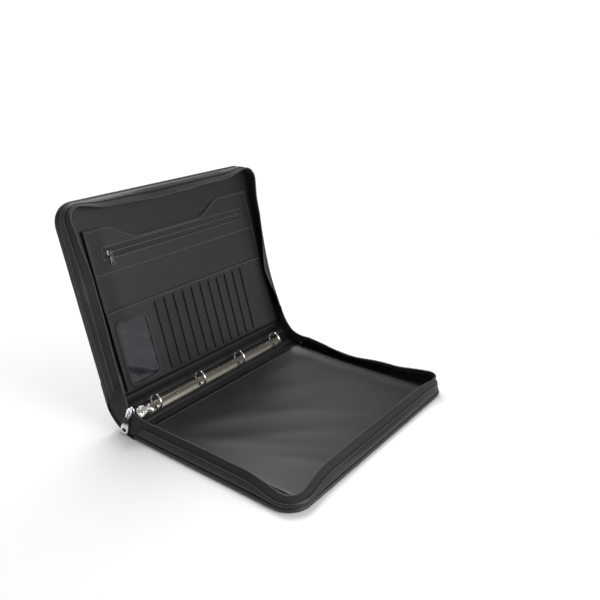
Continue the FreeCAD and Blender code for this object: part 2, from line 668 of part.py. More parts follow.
def front_cover():
    """Pieces of the front cover, made lying like the back cover's."""
    lying = {}
    strip_edge = box(HINGE_X, HINGE_X + FRONT_STRIP, -CASE_HEIGHT, CASE_HEIGHT, -1, STACK + 1)
    whole = skin()
    lying["front_skin"] = whole.cut(strip_edge)
    lying["front_spine_strip"] = whole.common(strip_edge)
    lying["front_foam"] = layer(SKIN, FOAM)
    lying["front_board"] = layer(SKIN + FOAM, BOARD)
    lying["front_lining"] = layer(SKIN + FOAM + BOARD, LINING)
    lying["front_gusset"] = gusset()
    lying["front_zip_tape"] = zip_tape()
    lying["front_zip_coil"] = zip_coil()
    lying["slip_pocket"] = slip_pocket(STACK)
    lying["wave_pocket"] = wave_panel(STACK)
    lying["pocket_zip_tapes"] = pocket_zip_tapes(STACK)
    lying["pocket_zip_coil"] = pocket_zip_coil(STACK)
    face = STACK + POCKET_SHEET
    lying["card_leaves"] = card_leaves(face)
    lying["card_panel"] = card_panel(face + FILM)
    lying["window_film"] = window_film(face + FILM)
    lying["window_frame"] = window_frame(face + FILM + CARD_SHEET)
    return lying


def moving_pieces():
    """Pieces that are bodies of their own, by the cover or spine that carries them."""
    on_spine = {
        "back_rail": rail(-1),
        "back_ring_halves": ring_halves(-1),
        "front_rail": rail(1),
        "front_ring_halves": ring_halves(1),
        "ring_lever": lever(),
        "main_pull": main_pull(),
    }
    zip_face = STACK + POCKET_SHEET + POCKET_SLIDER_GAP
    on_front = {
        "pocket_slider": pocket_slider(zip_face),
        "pocket_pull": pocket_pull(zip_face),
    }
    return on_spine, on_front


def open_spine(shape):
    turned = shape.copy()
    turned.rotate(BACK_HINGE, Y_AXIS, -SPINE_OPEN)
    return turned


def open_front(shape):
    """Mirrors a lying piece up to the shut front cover, then turns it open about both hinge lines."""
    turned = shape.mirror(V(0, 0, MIDDLE_Z), Z_AXIS)
    turned.rotate(FRONT_HINGE, Y_AXIS, -FRONT_OPEN)
    return open_spine(turned)


def main():
    on_spine, on_front = moving_pieces()
    pieces = dict(back_cover())
    for name, shape in {**spine(), **on_spine}.items():
        pieces[name] = open_spine(shape)
    for name, shape in {**front_cover(), **on_front}.items():
        pieces[name] = open_front(shape)
    os.makedirs("parts", exist_ok=True)
    for name, shape in pieces.items():
        shape.exportStep(os.path.join("parts", name + ".step"))
    print(len(pieces), "nodes written")


main()
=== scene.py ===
# %% [markdown]
# # A zip-round portfolio case
# The case has two stiff covers and a curved spine, all wrapped in leatherette. A zip runs round the three
# open sides, and the spine carries a ring mechanism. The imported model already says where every
# part is and how it moves, so it is loaded first and stays as it is.

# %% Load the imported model
import bpy
import bmesh
import json
from math import asin, atan2, cos, exp, pi, radians, sin, sqrt
from mathutils import Matrix, Vector

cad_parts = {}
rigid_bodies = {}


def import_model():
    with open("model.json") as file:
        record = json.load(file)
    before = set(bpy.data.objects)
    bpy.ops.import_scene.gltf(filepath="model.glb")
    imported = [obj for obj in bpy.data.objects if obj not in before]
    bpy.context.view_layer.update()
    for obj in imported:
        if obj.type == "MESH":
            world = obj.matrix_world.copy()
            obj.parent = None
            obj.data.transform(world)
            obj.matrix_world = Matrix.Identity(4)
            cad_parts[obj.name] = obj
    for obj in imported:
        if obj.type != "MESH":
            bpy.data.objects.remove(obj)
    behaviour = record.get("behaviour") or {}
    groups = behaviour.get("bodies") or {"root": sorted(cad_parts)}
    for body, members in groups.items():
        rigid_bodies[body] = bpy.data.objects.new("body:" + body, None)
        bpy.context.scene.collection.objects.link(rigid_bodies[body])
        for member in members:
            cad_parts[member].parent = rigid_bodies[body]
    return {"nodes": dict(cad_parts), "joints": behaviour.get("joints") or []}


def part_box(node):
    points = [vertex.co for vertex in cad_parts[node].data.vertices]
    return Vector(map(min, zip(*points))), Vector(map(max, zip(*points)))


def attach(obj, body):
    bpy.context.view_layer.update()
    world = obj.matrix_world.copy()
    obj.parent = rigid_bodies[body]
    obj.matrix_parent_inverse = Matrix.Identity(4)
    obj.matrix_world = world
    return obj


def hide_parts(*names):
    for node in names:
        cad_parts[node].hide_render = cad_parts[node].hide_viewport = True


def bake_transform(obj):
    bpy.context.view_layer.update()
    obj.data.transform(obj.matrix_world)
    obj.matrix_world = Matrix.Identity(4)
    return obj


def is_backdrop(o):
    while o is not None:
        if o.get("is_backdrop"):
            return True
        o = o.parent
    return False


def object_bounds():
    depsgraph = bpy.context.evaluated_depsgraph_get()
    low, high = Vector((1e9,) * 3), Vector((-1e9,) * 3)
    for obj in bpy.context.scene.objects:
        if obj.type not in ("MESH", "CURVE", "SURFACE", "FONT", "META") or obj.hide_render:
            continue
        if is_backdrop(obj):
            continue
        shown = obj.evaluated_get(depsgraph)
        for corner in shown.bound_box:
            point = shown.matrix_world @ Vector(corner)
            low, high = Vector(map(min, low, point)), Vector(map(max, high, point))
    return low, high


for left_over in list(bpy.data.objects):
    bpy.data.objects.remove(left_over, do_unlink=True)
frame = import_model()
CAD_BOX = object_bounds()
NODES = frame["nodes"]
MM = 0.001
print("nodes:", len(NODES), "box:", [[round(c, 4) for c in corner] for corner in CAD_BOX])

# %% [markdown]
# ## Where things are
# Both covers are made lying flat, like the real ones on the sewing table, and the same function makes both.
# The back cover stays there. The front cover is its mirror image over the shut case, and is then turned
# open about the two hinge lines. Spine pieces are made in the shut case and turned about the first hinge.

# %% Hinges and the two places
JOINTS = {joint["name"]: joint for joint in frame["joints"]}
HINGE = Vector(JOINTS["spine_hinge"]["pos_m"])
SPINE_WIDTH = (Vector(JOINTS["cover_hinge"]["pos_m"]) - HINGE).length
MIDDLE = HINGE.z + SPINE_WIDTH / 2


def turned(centre, angle):
    """A turn about the line through centre along Y."""
    there = Matrix.Translation(centre)
    return there @ Matrix.Rotation(angle, 4, "Y") @ there.inverted()


def upside_down(height):
    """The mirror image in a level plane."""
    there = Matrix.Translation((0, 0, height))
    return there @ Matrix.Diagonal((1, 1, -1, 1)) @ there.inverted()


AS_IT_LIES = Matrix.Identity(4)
SPINE_PLACE = turned(HINGE, -radians(JOINTS["spine_hinge"]["range_deg"][1]))
FRONT_PLACE = SPINE_PLACE @ turned(HINGE + Vector((0, 0, SPINE_WIDTH)),
                                   -radians(JOINTS["cover_hinge"]["range_deg"][1])) @ upside_down(MIDDLE)


def box_before(node, place):
    """A CAD node's box before place moved it."""
    back = place.inverted()
    points = [back @ v.co for v in NODES[node].data.vertices]
    low, high = [Vector([pick(p[i] for p in points) for i in range(3)]) for pick in (min, max)]
    return low, high


COVER = box_before("back_skin", AS_IT_LIES)
OUTER, END, COVER_TOP = COVER[1].x, COVER[1].y, COVER[1].z
CORNER = 28 * MM
ORGANISER = box_before("slip_pocket", FRONT_PLACE)
WAVE = box_before("wave_pocket", FRONT_PLACE)
CARDS = box_before("card_panel", FRONT_PLACE)
WINDOW = box_before("window_film", FRONT_PLACE)
LEAVES = box_before("card_leaves", FRONT_PLACE)
ZIP_TAPES = box_before("pocket_zip_tapes", FRONT_PLACE)
PANEL = box_before("back_sheet_pocket", AS_IT_LIES)
HOUSING = box_before("ring_housing", SPINE_PLACE)
SPINE_BOX = box_before("spine_skin", SPINE_PLACE)
print("cover", round(OUTER - HINGE.x, 4), "x", round(2 * END, 4), "organiser", ORGANISER)

# %% [markdown]
# ## Finishes
# A finish is a tree of nodes. Written as sums, it reads like a recipe: a `Wire` is one number on its way
# through the tree, and arithmetic on it adds Math nodes. Every other node comes from `Finish.add`.


# %% Arithmetic on sockets
class Wire:
    """One number on its way through a finish."""

    def __init__(self, finish, socket):
        self.finish, self.socket = finish, socket

    def math(self, operation, *values):
        node = self.finish.add("ShaderNodeMath", {"operation": operation}, dict(enumerate(values)))
        return Wire(self.finish, node.outputs[0])

    def __add__(self, other):
        return self.math("ADD", self, other)

    __radd__ = __add__

    def __sub__(self, other):
        return self.math("SUBTRACT", self, other)

    def __rsub__(self, other):
        return self.math("SUBTRACT", other, self)

    def __mul__(self, other):
        return self.math("MULTIPLY", self, other)

    __rmul__ = __mul__

    def sine(self):
        return self.math("SINE", self)

    def size(self):
        return self.math("ABSOLUTE", self)


class Finish:
    """A material and its node tree, built round one Principled shader."""

    def __init__(self, name):
        self.material = bpy.data.materials.new(name)
        self.material.use_nodes = True
        self.tree = self.material.node_tree
        self.shader = self.tree.nodes["Principled BSDF"]
        self.place = self.add("ShaderNodeTexCoord")

    def add(self, kind, settings=None, inputs=None):
        """A node of a kind, its settings made before its sockets are joined."""
        node = self.tree.nodes.new(kind)
        for key, value in (settings or {}).items():
            setattr(node, key, value)
        for key, value in (inputs or {}).items():
            self.join(value, node.inputs[key])
        return node

    def join(self, value, socket):
        if isinstance(value, Wire):
            value = value.socket
        if isinstance(value, bpy.types.NodeSocket):
            self.tree.links.new(value, socket)
        else:
            socket.default_value = value

    def noise(self, scale, detail=2.0, stretch=(1, 1, 1)):
        """Cloudy variation of a size of 1 / scale metres, from 0 to 1."""
        where = self.add("ShaderNodeMapping", {}, {"Vector": self.place.outputs["Object"], "Scale": stretch})
        made = self.add("ShaderNodeTexNoise", {}, {"Vector": where.outputs[0], "Scale": scale,
                                                   "Detail": detail})
        return Wire(self, made.outputs[0])

    def pebbles(self, size):
        """The rounded cells of pressed leather grain, a number of 0 at each one's middle."""
        made = self.add("ShaderNodeTexVoronoi", {}, {"Vector": self.place.outputs["Object"],
                                                     "Scale": 1 / size})
        return Wire(self, made.outputs["Distance"])

    def rise(self, low, high):
        """From 0 at one height of the object to 1 at another."""
        height = self.add("ShaderNodeSeparateXYZ", {}, {0: self.place.outputs["Object"]})
        made = self.add("ShaderNodeMapRange", {"interpolation_type": "SMOOTHSTEP"},
                        {"Value": height.outputs["Z"], "From Min": low, "From Max": high})
        return Wire(self, made.outputs[0])

    def along(self, axis):
        """The cloth's own distance along (X) or across (Y) the piece, in metres."""
        made = self.add("ShaderNodeSeparateXYZ", {}, {0: self.place.outputs["UV"]})
        return Wire(self, made.outputs[axis])

    def shade(self, dark, light, amount):
        """A colour between two, by an amount from 0 to 1."""
        made = self.add("ShaderNodeMix", {"data_type": "RGBA"}, {0: amount, 6: (*dark, 1), 7: (*light, 1)})
        return made.outputs[2]

    def relief(self, height, depth, strength=1.0):
        """Bumps of a depth in metres."""
        made = self.add("ShaderNodeBump", {}, {"Height": height, "Distance": depth, "Strength": strength})
        return made.outputs[0]

    def surface(self, **sockets):
        for key, value in sockets.items():
            self.join(value, self.shader.inputs[key.replace("_", " ")])
        return self.material


print("finish tools ready")

# %% [markdown]
# ### Leatherette, lining and pocket skins
# Leatherette is a cloth with a pressed plastic skin. What the eye reads is not its colour, which is nearly
# black everywhere, but how it catches light: small rounded pebbles, and patches where handling has
# polished them. So the relief and the roughness vary, and the colour hardly does.


# %% Pressed skins
def pressed_skin(name, dark, light, grain, depth, gloss, patch=0.08, sheen=0.40):
    """A pressed plastic skin: grain size, depth of its relief, mean roughness, and how strongly it shines."""
    finish = Finish(name)
    cells = finish.pebbles(grain)
    fine = finish.noise(1 / (grain * 0.45), 3)
    wear = finish.noise(14, 3)
    cloud = finish.noise(60, 2)
    height = 1 - cells * cells * 1.6 + fine * 0.35
    rough = gloss + (wear - 0.5) * patch + cells * 0.08
    return finish.surface(Base_Color=finish.shade(dark, light, cloud * 0.6 + wear * 0.4), Roughness=rough,
                          Normal=finish.relief(height, depth, 0.65), Specular_IOR_Level=sheen)


LEATHERETTE = pressed_skin("leatherette", (0.008, 0.008, 0.0080), (0.016, 0.016, 0.0157), 1.1 * MM,
                           0.17 * MM, 0.42, 0.14, 0.42)
WALL_SKIN = pressed_skin("gusset_leatherette", (0.006, 0.0059, 0.0057), (0.013, 0.0128, 0.0124), 0.9 * MM,
                         0.06 * MM, 0.41, 0.12, 0.30)
LINING_SKIN = pressed_skin("smooth_lining", (0.005, 0.005, 0.0051), (0.011, 0.011, 0.0112), 0.7 * MM,
                           0.04 * MM, 0.42, 0.10, 0.22)
POCKET_SKIN = pressed_skin("pocket_satin", (0.007, 0.0071, 0.0074), (0.014, 0.0142, 0.0147), 0.6 * MM,
                           0.035 * MM, 0.38, 0.12, 0.37)
# The organiser's sheets are the same pocket satin; this darker, less shiny copy is painted shade on them.
POCKET_SKIN_PAINTED_SHADE = pressed_skin("pocket_satin_painted_shade", (0.006, 0.0061, 0.0064), (0.012, 0.0122, 0.0127), 0.6 * MM,
                              0.035 * MM, 0.40, 0.14, 0.24)
print("skins:", [m.name for m in (LEATHERETTE, WALL_SKIN, LINING_SKIN, POCKET_SKIN, POCKET_SKIN_PAINTED_SHADE)])

# %% [markdown]
# ### Woven tape, thread and coil
# A zip tape is a herringbone weave of polyester yarn, about half a millimetre a rib. The pattern follows
# the tape round the corners, so it reads the piece's own UV map, which is in metres along and across.


# %% Yarns
def woven_tape():
    finish = Finish("woven_tape")
    run, across = finish.along(0), finish.along(1)
    rib = 2 * pi / (0.9 * MM)
    slant = ((across * (pi / (2.2 * MM))).sine()).size()
    yarn = ((run * rib + slant * 3.0).sine()) * 0.5 + 0.5
    pick = ((across * (2 * pi / (0.7 * MM))).sine()) * 0.5 + 0.5
    height = yarn * 0.7 + pick * 0.3
    return finish.surface(Base_Color=finish.shade((0.004, 0.004, 0.0043), (0.020, 0.020, 0.021), height),
                          Roughness=0.82 - yarn * 0.14, Normal=finish.relief(height, 0.12 * MM, 0.8),
                          Sheen_Weight=0.10, Sheen_Roughness=0.4, Specular_IOR_Level=0.3)


def twisted_thread():
    finish = Finish("sewing_thread")
    ply = finish.noise(2600, 2)
    return finish.surface(Base_Color=finish.shade((0.045, 0.0445, 0.043), (0.105, 0.104, 0.101), ply),
                          Roughness=0.36 + ply * 0.2, Normal=finish.relief(ply, 0.08 * MM, 0.6),
                          Sheen_Weight=0.2)


def nylon_coil():
    finish = Finish("nylon_coil")
    rub = finish.noise(400, 2)
    return finish.surface(Base_Color=finish.shade((0.028, 0.028, 0.029), (0.065, 0.065, 0.066), rub),
                          Roughness=0.24 + rub * 0.18, Normal=finish.relief(rub, 0.03 * MM, 0.4))


TAPE_WEAVE, THREAD, COIL_NYLON = woven_tape(), twisted_thread(), nylon_coil()
print("yarns:", TAPE_WEAVE.name, THREAD.name, COIL_NYLON.name)

# %% [markdown]
# ### Metals, film, board and foam
# Plated parts differ in how they were finished before plating: the housing was brushed along its length,
# the wire drawn and polished, and the slider cast and tumbled. The film is soft plastic, so it is glossy
# and never quite flat. The foam and the board sit inside the covers, and only show where a cover is cut.


# %% Metals and sheet goods
# The colour of painted shade, laid over a plated part above a given height.
PAINTED_SHADE_COLOUR = (0.035, 0.032, 0.029, 1)


def plated(name, dark, light, gloss, lines=None, dents=0.0, size=300, painted_shade_heights=None):
    """A plated metal: lines is how much finer the brushing is across than along the piece. The last argument
    is (low, high), the heights between which painted shade darkens the colour and the metal grows rougher."""
    finish = Finish(name)
    haze = finish.noise(size, 3)
    rub = finish.noise(40, 3)
    brush = finish.noise(1500, 2, (1, 1 / lines, 1)) if lines else haze
    rough = gloss + (rub - 0.5) * 0.10 + (brush - 0.5) * 0.10
    colour = finish.shade(dark, light, haze * 0.5 + rub * 0.5)
    # Painted shade: above the given heights the colour turns dark and the metal rougher.
    if painted_shade_heights:
        painted_shade_share = finish.rise(*painted_shade_heights)
        rough = rough + painted_shade_share * 0.14
        mixed = finish.add("ShaderNodeMix", {"data_type": "RGBA"}, {0: painted_shade_share, 6: colour, 7: PAINTED_SHADE_COLOUR})
        colour = mixed.outputs[2]
    return finish.surface(Base_Color=colour, Metallic=1.0,
                          Roughness=rough, Normal=finish.relief(brush, 0.02 * MM + dents, 0.35))


def lacquered(name):
    finish = Finish(name)
    peel = finish.noise(500, 2)
    return finish.surface(Base_Color=finish.shade((0.010, 0.010, 0.010), (0.022, 0.022, 0.022), peel),
                          Roughness=0.24 + peel * 0.12, Coat_Weight=0.5, Coat_Roughness=0.12,
                          Normal=finish.relief(peel, 0.03 * MM, 0.3))


def soft_film():
    finish = Finish("clear_film")
    sag = finish.noise(26, 2, (1, 0.5, 1))
    return finish.surface(Base_Color=finish.shade((0.008, 0.009, 0.013), (0.018, 0.0195, 0.026), sag),
                          Roughness=0.10 + sag * 0.08, Alpha=0.84 + sag * 0.08, IOR=1.5)


def pressed_board():
    finish = Finish("black_board")
    fibre = finish.noise(900, 4, (1, 0.3, 1))
    return finish.surface(Base_Color=finish.shade((0.012, 0.012, 0.012), (0.030, 0.029, 0.028), fibre),
                          Roughness=0.9, Normal=finish.relief(fibre, 0.08 * MM))


def open_foam():
    finish = Finish("padding_foam")
    cells = finish.pebbles(0.6 * MM)
    return finish.surface(Base_Color=finish.shade((0.03, 0.03, 0.03), (0.09, 0.09, 0.09), cells),
                          Roughness=0.95, Normal=finish.relief(cells, 0.2 * MM))


NICKEL = plated("brushed_nickel", (0.20, 0.187, 0.157), (0.27, 0.254, 0.218), 0.32, lines=60)
CHROME = plated("chrome_wire", (0.84, 0.82, 0.77), (0.94, 0.92, 0.88), 0.11)
SPRING_STEEL = plated("spring_steel", (0.36, 0.36, 0.37), (0.46, 0.46, 0.47), 0.30, lines=20)
CAST_ZINC = plated("cast_zinc", (0.66, 0.66, 0.67), (0.80, 0.80, 0.81), 0.15, dents=0.03 * MM, size=700)
BLACK_LACQUER, FILM = lacquered("black_lacquer"), soft_film()
BOARD, FOAM = pressed_board(), open_foam()
FINISH_OF_SLOT = {
    "outer_skin": LEATHERETTE, "padding_foam": FOAM, "stiff_board": BOARD, "inner_lining": LINING_SKIN,
    "pocket_sheet": POCKET_SKIN, "gusset_fabric": WALL_SKIN, "zip_tape": TAPE_WEAVE, "zip_coil": COIL_NYLON,
    "nickel_plate": NICKEL, "chrome_wire": CHROME, "spring_steel": SPRING_STEEL, "cast_zinc": CAST_ZINC,
    "black_zinc": BLACK_LACQUER, "clear_film": FILM,
}
# A node takes the last finish here whose word is in its name.
NODE_FINISH = {
    "lining": LINING_SKIN, "foam": FOAM, "board": BOARD, "rail": SPRING_STEEL, "housing": NICKEL,
    "rivets": NICKEL, "pad": LINING_SKIN, "ring_halves": CHROME, "lever": CHROME, "lever_pin": SPRING_STEEL,
    "main": CAST_ZINC, "pocket_slider": BLACK_LACQUER, "pocket_pull": BLACK_LACQUER, "leaves": POCKET_SKIN,
}
for node, thing in NODES.items():
    for word, material in NODE_FINISH.items():
        if word in node:
            for place in thing.material_slots:
                place.material = material
print("metals and sheet goods ready")

# %% [markdown]
# ## Bench tools
# `finish_piece` is the last step of every piece. It moves the mesh from where it was made to where it
# belongs, keeps its faces outwards, gives a sheet its thickness, and ties it to the body it moves with, but
# leaves cloth across a hinge tied to no body.


# %% Finish a piece
def smooth_by_angle(mesh, angle):
    """Rounded shading, but with a crisp line where two faces meet more sharply than angle."""
    shape = bmesh.new()
    shape.from_mesh(mesh)
    for face in shape.faces:
        face.smooth = True
    for edge in shape.edges:
        edge.smooth = len(edge.link_faces) == 2 and edge.calc_face_angle(0) < angle
    shape.to_mesh(mesh)
    shape.free()


def settle(piece):
    """Makes a piece's modifiers part of its mesh."""
    evaluated = piece.evaluated_get(bpy.context.evaluated_depsgraph_get())
    mesh = bpy.data.meshes.new_from_object(evaluated)
    piece.modifiers.clear()
    piece.data = mesh


def finish_piece(shape, name, body, slot, place=AS_IT_LIES, replaces=(), thickness=0.0, rounding=0.0,
                 finish=None, angle=40, blend=None):
    """A bmesh becomes a finished object. With blend, (other body, start, end), the piece is left in place and
    tied to no body; the three values are not used.
    """
    if thickness:
        bmesh.ops.remove_doubles(shape, verts=shape.verts, dist=0.01 * MM)
    shape.transform(place)
    if place.determinant() < 0:
        bmesh.ops.reverse_faces(shape, faces=shape.faces)
    mesh = bpy.data.meshes.new(name)
    shape.to_mesh(mesh)
    shape.free()
    piece = bpy.data.objects.new(name, mesh)
    bpy.context.scene.collection.objects.link(piece)
    mesh.materials.append(finish or FINISH_OF_SLOT[slot])
    if thickness:
        wall = piece.modifiers.new("thickness", "SOLIDIFY")
        wall.thickness, wall.offset = thickness, 0
    if rounding:
        edge = piece.modifiers.new("edges", "BEVEL")
        edge.width, edge.segments, edge.limit_method, edge.angle_limit = rounding, 2, "ANGLE", radians(45)
    if thickness or rounding:
        settle(piece)
    smooth_by_angle(piece.data, radians(angle))
    if blend:
        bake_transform(piece)
    else:
        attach(piece, body)
    if replaces:
        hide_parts(*replaces)
    return piece


def joined(shapes):
    """Several bmeshes as one."""
    whole = bmesh.new()
    for shape in shapes:
        part = bpy.data.meshes.new("part")
        shape.to_mesh(part)
        shape.free()
        whole.from_mesh(part)
        bpy.data.meshes.remove(part)
    return whole


print("bench ready")

# %% [markdown]
# ### Slabs, sheets and stitches
# Three kinds of shape make up almost all of the case. A slab is a block with rounded corners and edges. A
# sheet is a grid laid over a rule that says where each of its points goes, and its UV map is the flat cloth
# in metres. A stitch is a small grain of rice, and a row of them follows any line.


# %% Slab
def slab(low, high, corner=0.0, corners="outer", edge=0.0, keep_square=None, cell=0.0):
    """A block from low to high, with corners rounded in plan and, on its faces, a soft edge."""
    shape = bmesh.new()
    bmesh.ops.create_cube(shape, size=1)
    low, high = Vector(low), Vector(high)
    bmesh.ops.scale(shape, vec=high - low, verts=shape.verts)
    bmesh.ops.translate(shape, vec=(low + high) / 2, verts=shape.verts)
    upright = [e for e in shape.edges if abs(e.verts[0].co.z - e.verts[1].co.z) > 1e-6]
    if corners == "outer":
        upright = [e for e in upright if e.verts[0].co.x > high.x - 1e-6]
    if corner:
        bmesh.ops.bevel(shape, geom=upright, offset=corner, affect="EDGES", segments=12, profile=0.5,
                        material=-1)
    if edge:
        level = [e for e in shape.edges if abs(e.verts[0].co.z - e.verts[1].co.z) < 1e-6]
        if keep_square:
            level = [e for e in level if not keep_square(e)]
        bmesh.ops.bevel(shape, geom=level, offset=edge, affect="EDGES", segments=4, profile=0.5, material=-1)
    if cell:
        for axis in (0, 1):
            cut_across(shape, axis, low[axis], high[axis], cell)
    return shape


def cut_across(shape, axis, low, high, cell):
    """Cuts a shape into even steps of about a cell along an axis, for bends and for smooth shading."""
    count = int((high - low) / cell)
    for step in range(1, count):
        at, across = Vector((0, 0, 0)), Vector((0, 0, 0))
        at[axis], across[axis] = low + (high - low) * step / count, 1
        bmesh.ops.bisect_plane(shape, geom=shape.verts[:] + shape.edges[:] + shape.faces[:], dist=1e-7,
                               plane_co=at, plane_no=across)


# %% Sheet
def between(start, end, share):
    return start + (end - start) * share


def smooth_step(low, high, value):
    """Rises gently from 0 at low to 1 at high."""
    share = max(0.0, min(1.0, (value - low) / (high - low)))
    return share * share * (3 - 2 * share)


def spread(*stops, step):
    """Places from the first stop to the last, through each one, at most step apart."""
    places = [stops[0]]
    for start, end in zip(stops, stops[1:]):
        count = max(1, int(abs(end - start) / step + 0.999))
        places += [between(start, end, (i + 1) / count) for i in range(count)]
    return places


def sheet_grid(columns, rows, shape_of, leave_out=None):
    """A sheet with a vertex for each column and row, at shape_of(column, row)."""
    sheet = bmesh.new()
    bmesh.ops.create_grid(sheet, x_segments=len(columns) - 1, y_segments=len(rows) - 1, size=0.5)
    cloth = sheet.loops.layers.uv.new("cloth")
    flat = {}
    for vertex in sheet.verts:
        i = round((vertex.co.x + 0.5) * (len(columns) - 1))
        j = round((vertex.co.y + 0.5) * (len(rows) - 1))
        flat[vertex] = (columns[i], rows[j])
    for face in sheet.faces:
        for corner in face.loops:
            corner[cloth].uv = flat[corner.vert]
    if leave_out:
        gone = []
        for face in sheet.faces:
            places = [flat[v] for v in face.verts]
            if leave_out(sum(p[0] for p in places) / 4, sum(p[1] for p in places) / 4):
                gone.append(face)
        bmesh.ops.delete(sheet, geom=gone, context="FACES")
    for vertex in sheet.verts:
        vertex.co = shape_of(*flat[vertex])
    return sheet


# %% Lines and stitches
def measured(points):
    """The points with their distances along the line."""
    gone, out = 0.0, [(0.0, points[0])]
    for start, end in zip(points, points[1:]):
        gone += (end - start).length
        out.append((gone, end))
    return out


def point_on(line, distance):
    """The place and direction at a distance along a measured line."""
    for (d0, p0), (d1, p1) in zip(line, line[1:]):
        if distance <= d1 or (d1, p1) == line[-1]:
            share = (distance - d0) / max(d1 - d0, 1e-9)
            return between(p0, p1, share), (p1 - p0).normalized()


def beads(places):
    """A small rounded grain at each place, made in short lots, which is quicker than one long one."""
    lots, lot = [], 30
    for first in range(0, len(places), lot):
        grains = bmesh.new()
        for place in places[first:first + lot]:
            bmesh.ops.create_uvsphere(grains, u_segments=6, v_segments=4, radius=1, matrix=place)
        lots.append(grains)
    return joined(lots)


def stitch_row(points, up, pitch=3.3 * MM, length=0.68, width=0.85 * MM, lift=0.14 * MM):
    """Small rounded stitches along a line. up is the way out of the cloth, or a rule for it."""
    line = measured(points)
    count = max(1, int(line[-1][0] / pitch))
    places = []
    for i in range(count):
        place, way = point_on(line, (i + 0.5) * line[-1][0] / count)
        out = up(place) if callable(up) else up
        side = out.cross(way).normalized()
        out = way.cross(side)
        axes = Matrix((way, side, out)).transposed().to_4x4()
        size = Matrix.Diagonal((pitch * length / 2, width / 2, width / 2, 1))
        places.append(Matrix.Translation(place + out * lift) @ axes @ size)
    return beads(places)


def arc(x, y, z, radius, first, sweep, steps):
    """Points of a level arc round x, y, from its first angle through its sweep, in degrees."""
    angles = [radians(first + sweep * i / steps) for i in range(steps + 1)]
    return [Vector((x + radius * cos(angle), y + radius * sin(angle), z)) for angle in angles]


def rounded_loop(low, high, radius, steps=6):
    """Points round a rectangle with rounded corners, at a height of 0."""
    centres = [(high.x - radius, low.y + radius, -90), (high.x - radius, high.y - radius, 0),
               (low.x + radius, high.y - radius, 90), (low.x + radius, low.y + radius, 180)]
    points = []
    for x, y, first in centres:
        points += arc(x, y, 0, radius, first, 90, steps)
    return points + [points[0]]


print("slab, sheet and stitch tools ready")

# %% [markdown]
# ## The covers
# A cover is a board with a thin layer of foam, wrapped in leatherette that is turned in over the edge. A
# cube is bevelled twice: first its two outer corners, then all its edges, for the roll of the turned skin.
# The outer face gets a shallow trough for the stitching, made by a few insets. The inner face is sunk for
# the lining. The front cover is the same, but its skin is sewn from two parts along a seam near the spine.

# %% Cover shells
EDGE_ROLL = 2.6 * MM
STITCH_INSET = 4.6 * MM
# The insets of the outer face, in mm: how far in, and how far up (+) or down (-) from the face.
TROUGH = [((STITCH_INSET - EDGE_ROLL) / MM - 0.6, 0), (0.4, -0.35), (0.5, 0), (0.5, 0.25), (3, 0.10), (14, 0)]
SEAM = box_before("front_spine_strip", FRONT_PLACE)[1].x
CREASE = 7 * MM
TURN_IN = CREASE - 1.5 * MM
LINING_SINK = 0.8 * MM


def inset(shape, faces, thickness, depth):
    """Insets faces as one region, which stays the same faces."""
    bmesh.ops.inset_region(shape, faces=faces, thickness=thickness, depth=depth, use_even_offset=True,
                           use_boundary=True)


def cover_shell(x0, x1, square_side):
    """The wrapped board from x0 to x1. Its outer face is down."""
    low, high = Vector((x0, -END, 0)), Vector((x1, END, COVER_TOP))
    outer_end = x1 > OUTER - MM

    def square(edge):
        flat_side = edge.verts[0].co.x < x0 + 1e-6 and edge.verts[1].co.x < x0 + 1e-6
        return flat_side and (square_side or edge.verts[0].co.z < MM)

    shape = slab(low, high, CORNER if outer_end else 0, "outer", EDGE_ROLL, keep_square=square)
    bottom = [f for f in shape.faces if f.normal.z < -0.99]
    top = [f for f in shape.faces if f.normal.z > 0.99]
    if outer_end:
        for width, depth in TROUGH:
            inset(shape, bottom, width * MM, depth * MM)
        inset(shape, top, 2.0 * MM, 0)
        inset(shape, top, 0.1 * MM, -LINING_SINK)
    return shape


COVERS = (("back", AS_IT_LIES, "back_cover"), ("front", FRONT_PLACE, "front_cover"))
back_shell = finish_piece(cover_shell(HINGE.x + TURN_IN, OUTER, False), "back_cover_shell",
                          "back_cover", "outer_skin", replaces=["back_skin"], angle=50)
front_shell = finish_piece(cover_shell(SEAM, OUTER, True), "front_cover_shell", "front_cover", "outer_skin",
                           FRONT_PLACE, replaces=["front_skin"], angle=50)
strip = slab((HINGE.x + TURN_IN, -END + 0.15 * MM, 0.35 * MM),
             (SEAM + MM, END - 0.15 * MM, COVER_TOP), edge=EDGE_ROLL - 0.2 * MM,
             keep_square=lambda e: max(v.co.z for v in e.verts) < MM and e.verts[0].co.x < HINGE.x + CREASE)
finish_piece(strip, "front_spine_strip_shell", "front_cover", "outer_skin", FRONT_PLACE,
             replaces=["front_spine_strip"], angle=50)
print("cover shells made, seam at", round((SEAM - HINGE.x) / MM, 1), "mm from the hinge")

# %% [markdown]
# ### Saddle stitching
# The stitches run round the three open sides in one line, 4.6 mm in from the edge and 4.7 mm apart. On the
# front cover two more rows hold the seam beside the spine.


# %% Stitches on the outer faces
def round_the_cover(inward, height, start):
    """Points round a cover's three open sides."""
    radius = CORNER - inward
    x1, y1 = OUTER - inward, END - inward
    points = [Vector((HINGE.x + start, -y1, height))]
    for centre_y, first in ((-y1 + radius, -90), (y1 - radius, 0)):
        points += arc(x1 - radius, centre_y, height, radius, first, 90, 12)
    return points + [Vector((HINGE.x + start, y1, height))]


